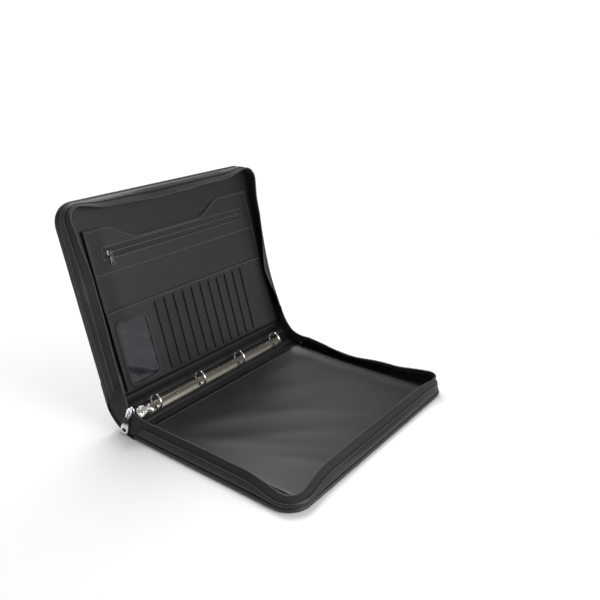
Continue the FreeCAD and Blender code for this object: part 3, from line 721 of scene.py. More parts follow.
DOWN, UP = Vector((0, 0, -1)), Vector((0, 0, 1))
SADDLE_PITCH = 4.7 * MM
SADDLE = {"back": (0.55 * MM, 10 * MM), "front": (0.3 * MM, 35 * MM)}    # height, and distance from the hinge
for side, place, body in COVERS:
    height, start = SADDLE[side]
    rows = [stitch_row(round_the_cover(STITCH_INSET, height, start), DOWN, pitch=SADDLE_PITCH, length=0.74,
                       width=0.75 * MM)]
    if side == "front":
        for from_seam in (1.6 * MM, 4.4 * MM):
            x = SEAM + from_seam
            line = [Vector((x, -END + 5 * MM, 0)), Vector((x, END - 5 * MM, 0))]
            rows.append(stitch_row(line, DOWN, pitch=4.0 * MM, width=0.6 * MM))
        for end in (-1, 1):
            line = [Vector((HINGE.x + 9 * MM, end * (END - STITCH_INSET), 0.35 * MM)),
                    Vector((SEAM - 2 * MM, end * (END - STITCH_INSET), 0.35 * MM))]
            rows.append(stitch_row(line, DOWN, pitch=SADDLE_PITCH, width=0.7 * MM))
    finish_piece(joined(rows), side + "_saddle_stitch", body, "outer_skin", place, finish=THREAD)
print("saddle stitches sewn")

# %% [markdown]
# ### Linings and the big pocket on the back
# The lining is one smooth sheet inside the turned edge. On the back cover a second sheet, sewn on three
# sides, makes a pocket. It is a soft sheet, pulled a little by its seams, so it carries long shallow folds
# from corner to corner, and its far edge stands up from the lining. A cloth simulation could find folds of
# its own, but these are few and their places are known, so each is a low ridge added to a fine grid.


# %% Lining sheets
LINING_INSET = 4.7 * MM


def lining_sheet():
    """The lining, sunk into the inner face inside the turned edge."""
    return slab((HINGE.x + CREASE, -END + LINING_INSET, COVER_TOP - LINING_SINK),
                (OUTER - LINING_INSET, END - LINING_INSET, COVER_TOP - 0.05 * MM), CORNER - LINING_INSET,
                "outer", cell=24 * MM)


for side, place, body in COVERS:
    cloth = finish_piece(lining_sheet(), side + "_lining_sheet", body, "inner_lining", place,
                         replaces=[side + "_lining"], angle=30)
    side + "_board"


# %% The folds of the back pocket
# Each fold: a point that it goes through, its direction, and its height, width and reach, all in mm.
FOLDS = [(20, 20, 0.62, 0.78, 1.3, 14, 120), (50, -30, 0.70, 0.71, 1.0, 11, 100),
         (-30, 60, 0.55, 0.83, 1.1, 16, 90), (80, 50, 0.80, 0.60, 0.9, 10, 80),
         (-60, -60, 0.35, 0.94, 0.9, 18, 80), (0, -100, 0.86, 0.50, 0.8, 13, 90),
         (90, -80, 0.90, 0.44, 0.7, 9, 60), (-80, 110, 0.20, 0.98, 1.2, 15, 50)]


def ridge(x, y, through_x, through_y, way_x, way_y, height, width, reach):
    """How high a long low fold stands at a place. It fades out at its ends."""
    dx, dy = x - through_x * MM, y - through_y * MM
    along = (dx * way_x + dy * way_y) / (reach * MM)
    across = (dy * way_x - dx * way_y) / (width * MM)
    return height * MM * exp(-across * across - along * along)


def pocket_height(x, y):
    """How far the pocket sheet stands above where it would lie flat."""
    inside = min(x - PANEL[0].x, PANEL[1].x - x, y - PANEL[0].y, PANEL[1].y - y)
    free = smooth_step(2 * MM, 26 * MM, inside)
    folds = sum(ridge(x, y, *fold) for fold in FOLDS) * free
    far_edge = smooth_step(PANEL[1].y - 22 * MM, PANEL[1].y, y)
    left_end = max(0.0, 1 - Vector((x - PANEL[0].x, y - PANEL[1].y)).length / (90 * MM))
    spine_edge = smooth_step(PANEL[0].x + 16 * MM, PANEL[0].x, x)
    return folds + far_edge * (1.6 * MM + 2.4 * MM * left_end) + 0.5 * MM * spine_edge


POCKET_TOP = PANEL[0].z + 1.1 * MM
SEAM_IN = Vector((3, 3, 0)) * MM
panel = slab(PANEL[0], (PANEL[1].x, PANEL[1].y, POCKET_TOP), 12 * MM, "all", cell=6 * MM)
for vertex in panel.verts:
    vertex.co.z += pocket_height(vertex.co.x, vertex.co.y)
pocket = finish_piece(panel, "back_pocket_sheet", "back_cover", "pocket_sheet",
                      replaces=["back_sheet_pocket"], angle=60, rounding=0.4 * MM)
outline = rounded_loop(PANEL[0] + SEAM_IN, PANEL[1] - SEAM_IN, 9 * MM)
seam = []
for start, end in zip(outline, outline[1:]):
    count = max(1, int((end - start).length / (8 * MM)))
    for i in range(count):
        point = between(start, end, i / count)
        point.z = POCKET_TOP + pocket_height(point.x, point.y)
        seam.append(point)
finish_piece(stitch_row(seam, UP), "back_pocket_stitch", "back_cover", "pocket_sheet", finish=THREAD)
print("linings laid and the back pocket sewn")

# %% [markdown]
# ## The zip wall
# A soft strip, the gusset, stands on each cover's edge and carries half of the zip. Unzipped, it has
# nothing to hold it up, so it stays straight at the stiff corners and slumps inwards between them, in small
# waves. The wall is a sheet whose columns follow a U-shaped track round the cover. How far its rim leans in
# at each place is read from a short list, and the height follows, because the cloth can't stretch.

# %% The track and the wall's shape
WALL_INSET, WALL_RADIUS = 3 * MM, CORNER - 3 * MM
WALL_START, RIM_START = 7 * MM, 30 * MM
WALL_LENGTH = 20.2 * MM
SIDE_RUN = OUTER - WALL_INSET - WALL_RADIUS - HINGE.x - WALL_START
QUARTER = WALL_RADIUS * pi / 2
END_RUN = 2 * (END - WALL_INSET - WALL_RADIUS)
TRACK = 2 * SIDE_RUN + 2 * QUARTER + END_RUN


def track(distance):
    """The place and the outward direction at a distance round the cover, from the near end of the spine."""
    x1, y1 = OUTER - WALL_INSET - WALL_RADIUS, END - WALL_INSET - WALL_RADIUS
    if distance < SIDE_RUN:
        return Vector((HINGE.x + WALL_START + distance, -y1 - WALL_RADIUS, 0)), Vector((0, -1, 0))
    distance -= SIDE_RUN
    if distance < QUARTER:
        out = Vector((sin(distance / WALL_RADIUS), -cos(distance / WALL_RADIUS), 0))
        return Vector((x1, -y1, 0)) + out * WALL_RADIUS, out
    distance -= QUARTER
    if distance < END_RUN:
        return Vector((x1 + WALL_RADIUS, -y1 + distance, 0)), Vector((1, 0, 0))
    distance -= END_RUN
    if distance < QUARTER:
        out = Vector((cos(distance / WALL_RADIUS), sin(distance / WALL_RADIUS), 0))
        return Vector((x1, y1, 0)) + out * WALL_RADIUS, out
    return Vector((x1 - distance + QUARTER, y1 + WALL_RADIUS, 0)), Vector((0, 1, 0))


CORNER_1, CORNER_2 = SIDE_RUN + QUARTER / 2, SIDE_RUN + 1.5 * QUARTER + END_RUN
END_MIDDLE = (CORNER_1 + CORNER_2) / 2
# Each stop: a distance round the cover in metres, and how far the rim leans in there, in mm.
LEANS = {
    "back": [(0, 7), (SIDE_RUN * 0.5, 9.5), (SIDE_RUN * 0.85, 9), (CORNER_1, 5), (CORNER_1 + 0.07, 12),
             (END_MIDDLE, 16), (CORNER_2 - 0.06, 12), (CORNER_2, 2.5),
             (CORNER_2 + 0.07, 12), (TRACK - SIDE_RUN * 0.45, 15.5), (TRACK, 9)],
    "front": [(0, 9), (SIDE_RUN * 0.25, 12), (SIDE_RUN * 0.62, 17.5), (CORNER_1 - 0.035, 8), (CORNER_1, 2.5),
              (CORNER_1 + 0.06, 12), (END_MIDDLE, 15), (CORNER_2 - 0.07, 13), (CORNER_2, 2),
              (CORNER_2 + 0.06, 10), (TRACK - SIDE_RUN * 0.4, 17), (TRACK, 9)],
}
WAVES = {"back": (0.5, 0.23, 0.4), "front": (0.6, 0.19, 2.1)}    # height in mm, length in metres, phase
SLUMP = {"back": 1.0, "front": 0.0}    # whether the wall has sunk at its first corner
SLUMP_SHARE, SLUMP_BULGE, WALL_BULGE = 0.42, 3.6 * MM, 0.8 * MM


def lean(side, distance):
    """How far the rim leans in from the foot."""
    height, length, phase = WAVES[side]
    stops = LEANS[side]
    for (d0, a0), (d1, a1) in zip(stops, stops[1:]):
        if distance <= d1:
            base = a0 + (a1 - a0) * smooth_step(d0, d1, distance)
            break
    else:
        base = stops[-1][1]
    straight = min(1.0, abs(distance - CORNER_1) / 0.05, abs(distance - CORNER_2) / 0.05)
    return (base + straight * height * (sin(distance * 2 * pi / length + phase)
                                        + 0.5 * sin(distance * 5.3 * pi / length))) * MM


def wall_point(side, distance, share, proud=0.0):
    """A point of the wall at a distance round the cover and a share of its height, 0 foot to 1 rim.

    Both ends of the rim start further along than the foot, where the webs take over. proud moves the
    point out through the cloth.
    """
    ease, shift = 60 * MM, (RIM_START - WALL_START) * share
    at = distance
    if distance < ease:
        at = distance + shift * (1 - distance / ease)
    elif TRACK - distance < ease:
        at = distance - shift * (1 - (TRACK - distance) / ease)
    place, out = track(at)
    inward = lean(side, at)
    slumped = SLUMP[side] * smooth_step(75 * MM, 15 * MM, abs(at - CORNER_1))
    tall = sqrt(WALL_LENGTH ** 2 - inward ** 2) * (1 - SLUMP_SHARE * slumped)
    leaning = inward * share ** 1.5
    swell = WALL_BULGE * sin(pi * min(1, share / 0.6)) + SLUMP_BULGE * slumped * sin(pi * share)
    up = COVER_TOP + tall * share + proud * inward * 0.6 / WALL_LENGTH
    return place + out * (swell - leaning + proud) + UP * up


GUSSET_SHARE, TAPE_SHARES, HEM_SHARES = 0.60, (0.44, 0.96), (0.16, 0.54)
WALL_COLUMNS = spread(0, SIDE_RUN, SIDE_RUN + QUARTER, SIDE_RUN + QUARTER + END_RUN, TRACK - SIDE_RUN, TRACK,
                      step=6 * MM)


def wall_sheet(side, low, high, proud, rows):
    """Rows of the wall between two shares of its height."""
    heights = [between(low, high, i / rows) * WALL_LENGTH for i in range(rows + 1)]
    return sheet_grid(WALL_COLUMNS, heights, lambda s, v: wall_point(side, s, v / WALL_LENGTH, proud))


def teeth(points, across, pitch=2.1 * MM, size=(0.72, 1.35, 1.0)):
    """The turns of a coil: a small bead for each one along a line. across is a rule for its width."""
    line = measured(points)
    count = int(line[-1][0] / pitch)
    scale = Matrix.Diagonal((*[s * MM for s in size], 1))
    places = []
    for i in range(count):
        place, way = point_on(line, (i + 0.5) * line[-1][0] / count)
        wide = across(place, way)
        up = way.cross(wide).normalized()
        wide = up.cross(way)
        places.append(Matrix.Translation(place) @ Matrix((way, wide, up)).transposed().to_4x4() @ scale)
    return beads(places)


def outwards(_, way):
    """The wall's outward direction, from the way its rim runs."""
    return way.cross(UP).normalized()


for side, place, body in COVERS:
    gusset = finish_piece(wall_sheet(side, 0, GUSSET_SHARE, 0, 7), side + "_gusset_wall", body,
                          "gusset_fabric", place, [side + "_gusset"], thickness=1.3 * MM, angle=60)
    side + "_cover_shell"
    tape = finish_piece(wall_sheet(side, *TAPE_SHARES, -0.7 * MM, 6), side + "_zip_tape_wall", body,
                        "zip_tape", place, [side + "_zip_tape"], thickness=0.8 * MM, angle=60)
    side + "_gusset_wall"
    rim = [wall_point(side, s, 1.0, -0.5 * MM) for s in WALL_COLUMNS]
    finish_piece(teeth(rim, outwards), side + "_coil_teeth", body, "zip_coil", place, [side + "_zip_coil"])
    hems = [stitch_row([wall_point(side, s, share, 0.7 * MM) for s in WALL_COLUMNS],
                       lambda p: Vector((p.x, p.y, 0)).normalized(), width=0.75 * MM)
            for share in HEM_SHARES]
    finish_piece(joined(hems), side + "_gusset_stitch", body, "gusset_fabric", place, finish=THREAD)
print("zip walls stand, rim", round(TRACK, 3), "m long")

# %% [markdown]
# ## The spine
# The spine is a curved board between two soft creases.

# %% The spine's arc
SKIN = 2 * HINGE.z
BULGE = HINGE.x - SKIN / 2 - SPINE_BOX[0].x
ARC_RADIUS = ((SPINE_WIDTH / 2) ** 2 + BULGE ** 2) / (2 * BULGE)
ARC_CENTRE = Vector((HINGE.x - BULGE + ARC_RADIUS, 0, MIDDLE))
HALF_ARC = asin(SPINE_WIDTH / 2 / ARC_RADIUS)
HARD_ARC = HALF_ARC - CREASE / ARC_RADIUS
LINING_DEPTH = SKIN / 2 + 2.8 * MM


def spine_point(angle, y, depth):
    """A point of the shut spine: angle from its middle, and depth in from the middle of its skin."""
    radius = ARC_RADIUS - depth
    return ARC_CENTRE + Vector((-radius * cos(angle), y, radius * sin(angle)))


Y_COLUMNS = spread(-END, END, step=12 * MM)
arc_rows = [a * ARC_RADIUS for a in spread(-HARD_ARC, HARD_ARC, step=0.04)]
spine_cover = sheet_grid(Y_COLUMNS, arc_rows, lambda y, a: spine_point(a / ARC_RADIUS, y, 0.15 * MM))
spine_cover = finish_piece(spine_cover, "spine_outer_skin", "spine", "outer_skin", SPINE_PLACE,
                           ["spine_skin"], thickness=1.3 * MM, rounding=0.35 * MM, angle=50)
2 * HARD_ARC * ARC_RADIUS

# %% [markdown]
# ### Creases
# Each crease runs from the edge of a cover's board, past the hinge line, to the edge of the spine's board.
# Outside it is a strip of leatherette. Inside it is the lining, sunk into a soft valley. Each follows a
# curve shaped by four points, given where the case stands open.


# %% Crease strips
def curve(points, share):
    """A smooth line shaped by four control points (a cubic Bezier)."""
    a, b, c, d = points
    rest = 1 - share
    return a * rest ** 3 + b * 3 * rest ** 2 * share + c * 3 * rest * share ** 2 + d * share ** 3


def crease_strip(controls, y_end, name, side, slot, thickness):
    """A strip over one hinge, whose section is the curve that the control points shape."""
    rows = [i / 14 for i in range(15)]
    flat = sum((b - a).length for a, b in zip(controls, controls[1:]))
    strip_shape = sheet_grid(spread(-y_end, y_end, step=12 * MM), [r * flat for r in rows],
                             lambda y, r: curve(controls, r / flat) + Vector((0, y, 0)))
    cover = side + "_cover"
    strip_piece = finish_piece(strip_shape, name, cover, slot, thickness=thickness, angle=70,
                               blend=("spine", controls[0], controls[-1]))
    length = measured([curve(controls, r) for r in rows])[-1][0]
    side + "_board"


def crease_points(place, spine_side, low, depth, pull):
    """Controls from a cover's edge to the spine's edge.

    low is the height on the cover, depth the depth in the spine, and pull how far the middle ones stand
    off the hinge line.
    """
    across = spine_side * HARD_ARC
    beyond = spine_side * (HALF_ARC - pull / ARC_RADIUS)
    start = place @ Vector((HINGE.x + CREASE + 0.2 * MM, 0, low))
    leave = place @ Vector((HINGE.x + pull, 0, min(low, 0.7 * MM)))
    arrive = SPINE_PLACE @ spine_point(beyond, 0, min(depth, SKIN))
    return start, leave, arrive, SPINE_PLACE @ spine_point(across, 0, depth)


for side, place, sign in (("back", AS_IT_LIES, -1), ("front", FRONT_PLACE, 1)):
    low = 0.65 * MM if side == "back" else 1.0 * MM
    crease_strip(crease_points(place, sign, low, 0.15 * MM, 2.6 * MM), END - 0.1 * MM,
                 side + "_outer_crease", side, "outer_skin", 1.3 * MM)
    crease_strip(crease_points(place, sign, COVER_TOP - 0.5 * MM, LINING_DEPTH, 1.0 * MM), END - 3 * MM,
                 side + "_inner_crease", side, "inner_lining", 0.8 * MM)
print("spine and creases made, arc radius", round(ARC_RADIUS, 4))

# %% [markdown]
# ### Spine lining
# Inside the spine the lining is padded a little, so it swells on both sides of the ring mechanism and is
# pulled down where it is stitched beside the plate. The swelling is a rule of the angle across the spine.

# %% Lining of the spine
PLATE_MIDDLE = (HOUSING[0].z + HOUSING[1].z) / 2
PLATE_ANGLE = asin((PLATE_MIDDLE - MIDDLE) / ARC_RADIUS)
PLATE_HALF = 10.5 * MM / ARC_RADIUS


def lining_swell(angle, y):
    """How far the padded lining stands up."""
    beside = abs(angle - PLATE_ANGLE) - PLATE_HALF
    room = (HARD_ARC - PLATE_ANGLE if angle > PLATE_ANGLE else HARD_ARC + PLATE_ANGLE) - PLATE_HALF
    if beside <= 0 or abs(y) > END - 4 * MM:
        return 0.0
    share = min(1.0, beside / room)
    ends = smooth_step(0, 14 * MM, END - 4 * MM - abs(y))
    return 2.6 * MM * sin(pi * share) ** 0.7 * ends * (1 + 0.18 * sin(y / 0.019) + 0.1 * sin(y / 0.0071))


def lining_point(angle, y, over=0.0):
    """A point of the lining, or over it."""
    return spine_point(angle, y, LINING_DEPTH + lining_swell(angle, y) + over)


lining_rows = [a * ARC_RADIUS for a in spread(-HARD_ARC, PLATE_ANGLE - PLATE_HALF, PLATE_ANGLE + PLATE_HALF,
                                              HARD_ARC, step=1.6 * MM / ARC_RADIUS)]
spine_cloth = sheet_grid(spread(-END + 2.5 * MM, END - 2.5 * MM, step=7 * MM), lining_rows,
                         lambda y, a: lining_point(a / ARC_RADIUS, y))
lining = finish_piece(spine_cloth, "spine_lining_sheet", "spine", "inner_lining", SPINE_PLACE,
                      ["spine_lining"], thickness=0.8 * MM, angle=70)
2 * HARD_ARC * ARC_RADIUS + 2 * MM
beside_plate = []
for sign in (-1, 1):
    angle = PLATE_ANGLE + sign * (PLATE_HALF + 1.6 * MM / ARC_RADIUS)
    line = [lining_point(angle, y, 0.35 * MM) for y in spread(-END + 8 * MM, END - 8 * MM, step=8 * MM)]
    beside_plate.append(stitch_row(line, Vector((1, 0, 0))))
finish_piece(joined(beside_plate), "spine_lining_stitch", "spine", "inner_lining", SPINE_PLACE, finish=THREAD)

# %% [markdown]
# ### Cloth webs at the ends of the spine
# At each end of the spine the two zip tapes come together. A web of the same cloth joins them to the
# covers' walls. Each half has four edges: the wall's end, the crease, an upright over the spine's middle,
# and the free top that carries the coil. A Coons patch fills the sheet between them, and is left where it
# is made, tied to neither cover nor spine.

# %% Web patches
WEB_INWARD, WEB_UP = {-1: 29 * MM, 1: 10 * MM}, 22.3 * MM
WEB_SAG, WEB_BOW = {-1: 2.0 * MM, 1: 5 * MM}, 1.5 * MM
WEB_Y = END - 2.6 * MM


def along_points(points):
    """A rule from 0 to 1 along a line of points."""
    line = measured(points)
    return lambda share: point_on(line, share * line[-1][0])[0]


def patch(left, right, bottom, top):
    """A point of the sheet between four edges, each a rule from 0 to 1."""
    def at(q, v):
        sides = left(v) * (1 - q) + right(v) * q + bottom(q) * (1 - v) + top(q) * v
        corners = (left(0) * (1 - q) + right(0) * q) * (1 - v) + (left(1) * (1 - q) + right(1) * q) * v
        return sides - corners
    return at


def spine_web(side, place, sign, end):
    """One quarter of the webs: from a cover's wall to the middle of the spine, at one end."""
    y = end * WEB_Y
    tip = SPINE_PLACE @ Vector((HINGE.x + WEB_INWARD[end], y, HINGE.z + WEB_UP))
    heel = SPINE_PLACE @ spine_point(0, y, LINING_DEPTH - 1.5 * MM)

    def left(v):
        return place @ wall_point(side, 0.0 if end < 0 else TRACK, v)

    def right(v):
        return between(heel, tip, v)

    crease = [left(0), place @ Vector((HINGE.x + 2 * MM, y, 2.4 * MM))]
    crease += [SPINE_PLACE @ spine_point(sign * HALF_ARC * k, y, LINING_DEPTH - 1.5 * MM)
               for k in (0.8, 0.6, 0.4, 0.2, 0)]
    sag = (HINGE - tip).normalized() * WEB_SAG[end]

    def top(q):
        return between(left(1), tip, q) + sag * sin(pi * q) + Vector((0, end * WEB_BOW * sin(pi * q), 0))

    bottom = along_points(crease)
    shape_at = patch(left, right, bottom, top)
    wide = sum(measured([edge(k / 8) for k in range(9)])[-1][0] for edge in (bottom, top)) / 2
    tall = ((left(1) - left(0)).length + (tip - heel).length) / 2
    sheet = sheet_grid([wide * i / 12 for i in range(13)], [WALL_LENGTH * j / 8 for j in range(9)],
                       lambda q, v: shape_at(q / wide, v / WALL_LENGTH))
    name = ("near_" if end < 0 else "far_") + side
    nodes = ["near_tape_web" if end < 0 else "far_tape_web"] if side == "back" else []
    web = finish_piece(sheet, name + "_web", side + "_cover", "zip_tape", thickness=1.0 * MM, angle=70,
                       replaces=nodes, blend=("spine", left(1), tip))
    rim = [top(q / 16) for q in range(17)]
    finish_piece(teeth(rim, lambda p, w: Vector((0, 1, 0))), name + "_web_teeth", side + "_cover",
                 "zip_coil", blend=("spine", left(1), tip))


for end in (-1, 1):
    spine_web("back", AS_IT_LIES, -1, end)
    spine_web("front", FRONT_PLACE, 1, end)
print("four webs made")

# %% [markdown]
# ## The organiser
# Inside the front cover a stiffened sheet carries the pockets: a tall one with a wavy top and a zip across
# it, and a card panel with eleven slits and a clear window. It stands a little off the lining along its
# near edge. Every sheet is a grid in the cover's own plane, so one rule, `organiser_point`, lifts them all.

# %% The organiser's plane
SHEET = 0.9 * MM
ZIP_LOW, ZIP_HIGH = ZIP_TAPES[0].x, ZIP_TAPES[1].x
ZIP_NEAR, ZIP_FAR = ZIP_TAPES[0].y, ZIP_TAPES[1].y
NEAR, FAR = ORGANISER[0].y, ORGANISER[1].y


def standoff(y):
    """How far the sheets stand off the lining near their free edge."""
    return 3.2 * MM * smooth_step(NEAR + 30 * MM, NEAR, y)


def organiser_point(x, y, layer):
    """A point of the organiser. layer is its height over the cover's lining."""
    return Vector((x, y, COVER_TOP + layer + standoff(y)))


WAVE_HIGH = WAVE[1].x
WAVE_DIP = 21 * MM
NEAR_BEND = (NEAR + 34 * MM, NEAR + 82 * MM)
FAR_BEND = (FAR - 110 * MM, FAR - 57 * MM)


def wave_top(y):
    """The wavy top edge of the tall pocket."""
    dip = smooth_step(*NEAR_BEND, y) * (1 - smooth_step(*FAR_BEND, y))
    return WAVE_HIGH - WAVE_DIP * dip


LAYER_SLIP, LAYER_WAVE = 0.5 * MM, 0.9 * MM
y_places = spread(NEAR, ZIP_NEAR, ZIP_FAR, FAR, step=5 * MM)
slip = sheet_grid(spread(NEAR, FAR, step=6 * MM),
                  spread(ORGANISER[0].x, ORGANISER[1].x + 2 * MM, step=20 * MM),
                  lambda y, x: organiser_point(x, y, LAYER_SLIP))
slip = finish_piece(slip, "slip_pocket_sheet", "front_cover", "pocket_sheet", FRONT_PLACE, ["slip_pocket"],
                    thickness=SHEET, angle=60, finish=POCKET_SKIN_PAINTED_SHADE)

# %% [markdown]
# ### The wavy pocket and its zip
# The pocket's top edge dips in the middle. Each column of the grid runs up to the edge's own height, and
# above the zip the rows share out what is left. The zip's window is left out of the grid.

# %% Wavy pocket
LOWER_EDGE = ORGANISER[1].x - 1.5 * MM
low_rows = spread(LOWER_EDGE, ZIP_LOW, ZIP_HIGH, step=6 * MM)
upper_rows = [ZIP_HIGH + (WAVE_HIGH - ZIP_HIGH) * i / 6 for i in range(1, 7)]


def pocket_billow(x, y):
    """The pocket sheet stands out a little between its seams."""
    along = sin(pi * (y - NEAR) / (FAR - NEAR))
    return 0.7 * MM * along * sin(pi * min(1, (x - LOWER_EDGE) / (WAVE_HIGH - LOWER_EDGE))) + \
        0.5 * MM * smooth_step(ZIP_HIGH, WAVE_HIGH, x) * sin(y / 0.024)


def wave_point(y, x):
    if x > ZIP_HIGH:
        x = between(ZIP_HIGH, wave_top(y), (x - ZIP_HIGH) / (WAVE_HIGH - ZIP_HIGH))
    return organiser_point(x, y, LAYER_WAVE + pocket_billow(x, y))


def zip_window(y, x):
    return ZIP_NEAR < y < ZIP_FAR and ZIP_LOW < x < ZIP_HIGH


wave = finish_piece(sheet_grid(y_places, low_rows + upper_rows, wave_point, zip_window), "wave_pocket_sheet",
                    "front_cover", "pocket_sheet", FRONT_PLACE, ["wave_pocket"], thickness=SHEET, angle=60,
                    finish=POCKET_SKIN_PAINTED_SHADE)
ZIP_MIDDLE = (ZIP_LOW + ZIP_HIGH) / 2
zip_places = spread(ZIP_NEAR - 2 * MM, ZIP_FAR + 2 * MM, step=5 * MM)
HALF_GAP, HIDDEN = 0.7 * MM, 2 * MM
tapes = []
for edges in ((ZIP_LOW - HIDDEN, ZIP_MIDDLE - HALF_GAP), (ZIP_MIDDLE + HALF_GAP, ZIP_HIGH + HIDDEN)):
    tapes.append(sheet_grid(zip_places, spread(*edges, step=1.5 * MM),
                            lambda y, x: organiser_point(x, y, 0.15 * MM + pocket_billow(x, y))))
tape = finish_piece(joined(tapes), "pocket_zip_tape_pair", "front_cover", "zip_tape", FRONT_PLACE,
                    ["pocket_zip_tapes"], thickness=0.5 * MM, angle=60)
coil_line = [organiser_point(ZIP_MIDDLE, y, 0.5 * MM + pocket_billow(ZIP_MIDDLE, y)) for y in zip_places]
pocket_teeth = teeth(coil_line, lambda p, w: Vector((1, 0, 0)), 1.5 * MM, (0.55, 1.3, 0.55))
finish_piece(pocket_teeth, "pocket_zip_teeth", "front_cover", "zip_coil", FRONT_PLACE, ["pocket_zip_coil"])

# %% [markdown]
# ### Card panel
# Behind every slit is a narrow pocket, whose mouth stands a hair proud of the next one, like a louvre. So
# the panel's height is a saw-tooth along the spine, with a narrow groove at every slit. The grid has extra
# columns where the height changes fast. The window's opening is left out, and its border hides the rim.

# %% Card panel
SLITS = 11
SLIT_FIRST = LEAVES[0].y - 0.3 * MM
SLIT_PITCH = (LEAVES[1].y - LEAVES[0].y + 0.6 * MM) / SLITS
SLIT_LOW, SLIT_HIGH = LEAVES[0].x, LEAVES[1].x


def louvre(y, x):
    """The panel's height over its flat sheet."""
    inside = smooth_step(SLIT_LOW - 3 * MM, SLIT_LOW + MM, x)
    inside *= smooth_step(SLIT_HIGH + 3 * MM, SLIT_HIGH - MM, x)
    place = (y - SLIT_FIRST) / SLIT_PITCH
    if place < -0.6 or place > SLITS:
        return 0.0
    part = (place % 1) * SLIT_PITCH
    if part > SLIT_PITCH - 1.0 * MM and place < SLITS - 1:
        return -1.1 * MM * inside
    if place < 0:
        return 0.0
    return 1.5 * MM * (1 - part / SLIT_PITCH) ** 1.4 * inside


card_columns = {NEAR, FAR, WINDOW[0].y, WINDOW[1].y}
for i in range(SLITS):
    slit = SLIT_FIRST + i * SLIT_PITCH
    card_columns |= {slit - 1.08 * MM, slit - 0.96 * MM, slit - 0.05 * MM, slit + 0.05 * MM,
                     slit + 0.3 * SLIT_PITCH, slit + 0.55 * SLIT_PITCH, slit + 0.8 * SLIT_PITCH}
card_columns |= {NEAR + 5 * MM, WINDOW[0].y + 12 * MM, WINDOW[0].y + 24 * MM, WINDOW[0].y + 36 * MM,
                 SLIT_FIRST - 10 * MM, SLIT_FIRST - 5 * MM, FAR - 12 * MM, FAR - 24 * MM}
card_rows = spread(CARDS[0].x, SLIT_LOW - 3 * MM, SLIT_LOW + MM, WINDOW[0].x, WINDOW[1].x, SLIT_HIGH - MM,
                   SLIT_HIGH + 3 * MM, CARDS[1].x, step=5 * MM)
LAYER_CARD = LAYER_SLIP + 1.3 * MM
cards = sheet_grid(sorted(card_columns), card_rows,
                   lambda y, x: organiser_point(x, y, LAYER_CARD + louvre(y, x)),
                   lambda y, x: WINDOW[0].y < y < WINDOW[1].y and WINDOW[0].x < x < WINDOW[1].x)
cards = finish_piece(cards, "card_panel_sheet", "front_cover", "pocket_sheet", FRONT_PLACE,
                     ["card_panel", "card_leaves"], thickness=0.8 * MM, angle=35, finish=POCKET_SKIN_PAINTED_SHADE)

# %% [markdown]
# ### The clear window
# The window is soft film under a sewn border. The border is bridged between two rounded outlines, so its
# corners stay round, and the film sags between them in slow waves that break up its reflections.

# %% Window border and film
FRAME_WIDE = 4.2 * MM
film_columns = spread(WINDOW[0].y - MM, WINDOW[1].y + MM, step=2.5 * MM)
film_rows = spread(WINDOW[0].x - MM, WINDOW[1].x + MM, step=3 * MM)


def film_wave(x, y):
    """The film's slow waves."""
    return 0.30 * MM * sin(x / 0.0042 + y / 0.0085) + 0.14 * MM * sin(y / 0.006 - x / 0.011)


film = sheet_grid(film_columns, film_rows,
                  lambda y, x: organiser_point(x, y, LAYER_CARD + 0.1 * MM + film_wave(x, y)))
film = finish_piece(film, "window_film_sheet", "front_cover", "clear_film", FRONT_PLACE, ["window_film"],
                    angle=60)
border = bmesh.new()
loops = []
for grow in (0.0, FRAME_WIDE * 0.5, FRAME_WIDE):
    reach = Vector((grow, grow, 0))
    outline = rounded_loop(WINDOW[0] - reach, WINDOW[1] + reach, 7 * MM + grow)[:-1]
    crown = 0.25 * MM if 0 < grow < FRAME_WIDE else 0
    ring = [border.verts.new(organiser_point(p.x, p.y, LAYER_CARD + 0.75 * MM + crown)) for p in outline]
    loops.append([border.edges.new((a, b)) for a, b in zip(ring, ring[1:] + ring[:1])])
for inner_loop, outer_loop in zip(loops, loops[1:]):
    bmesh.ops.bridge_loops(border, edges=inner_loop + outer_loop)
bmesh.ops.recalc_face_normals(border, faces=border.faces)
finish_piece(border, "window_border", "front_cover", "pocket_sheet", FRONT_PLACE, ["window_frame"],
             thickness=0.7 * MM, angle=60, finish=POCKET_SKIN_PAINTED_SHADE)

# %% [markdown]
# ### Rows of stitching
# Every edge of the organiser is turned and sewn. Each row is a line in the organiser's plane, a little
# inside the edge that it holds.

# %% Organiser stitches
TOP_OF_SHEET = SHEET / 2


def sewn(points, layer):
    """A row through places (x, y) of the organiser, in short steps."""
    fine_points = []
    for (x0, y0), (x1, y1) in zip(points, points[1:]):
        count = max(1, int(max(abs(x1 - x0), abs(y1 - y0)) / (4 * MM)))
        for i in range(count):
            fine_points.append((between(x0, x1, i / count), between(y0, y1, i / count)))
    fine_points.append(points[-1])
    line = [organiser_point(x, y, layer + TOP_OF_SHEET + (pocket_billow(x, y) if x > LOWER_EDGE else 0))
            for x, y in fine_points]
    return stitch_row(line, UP)


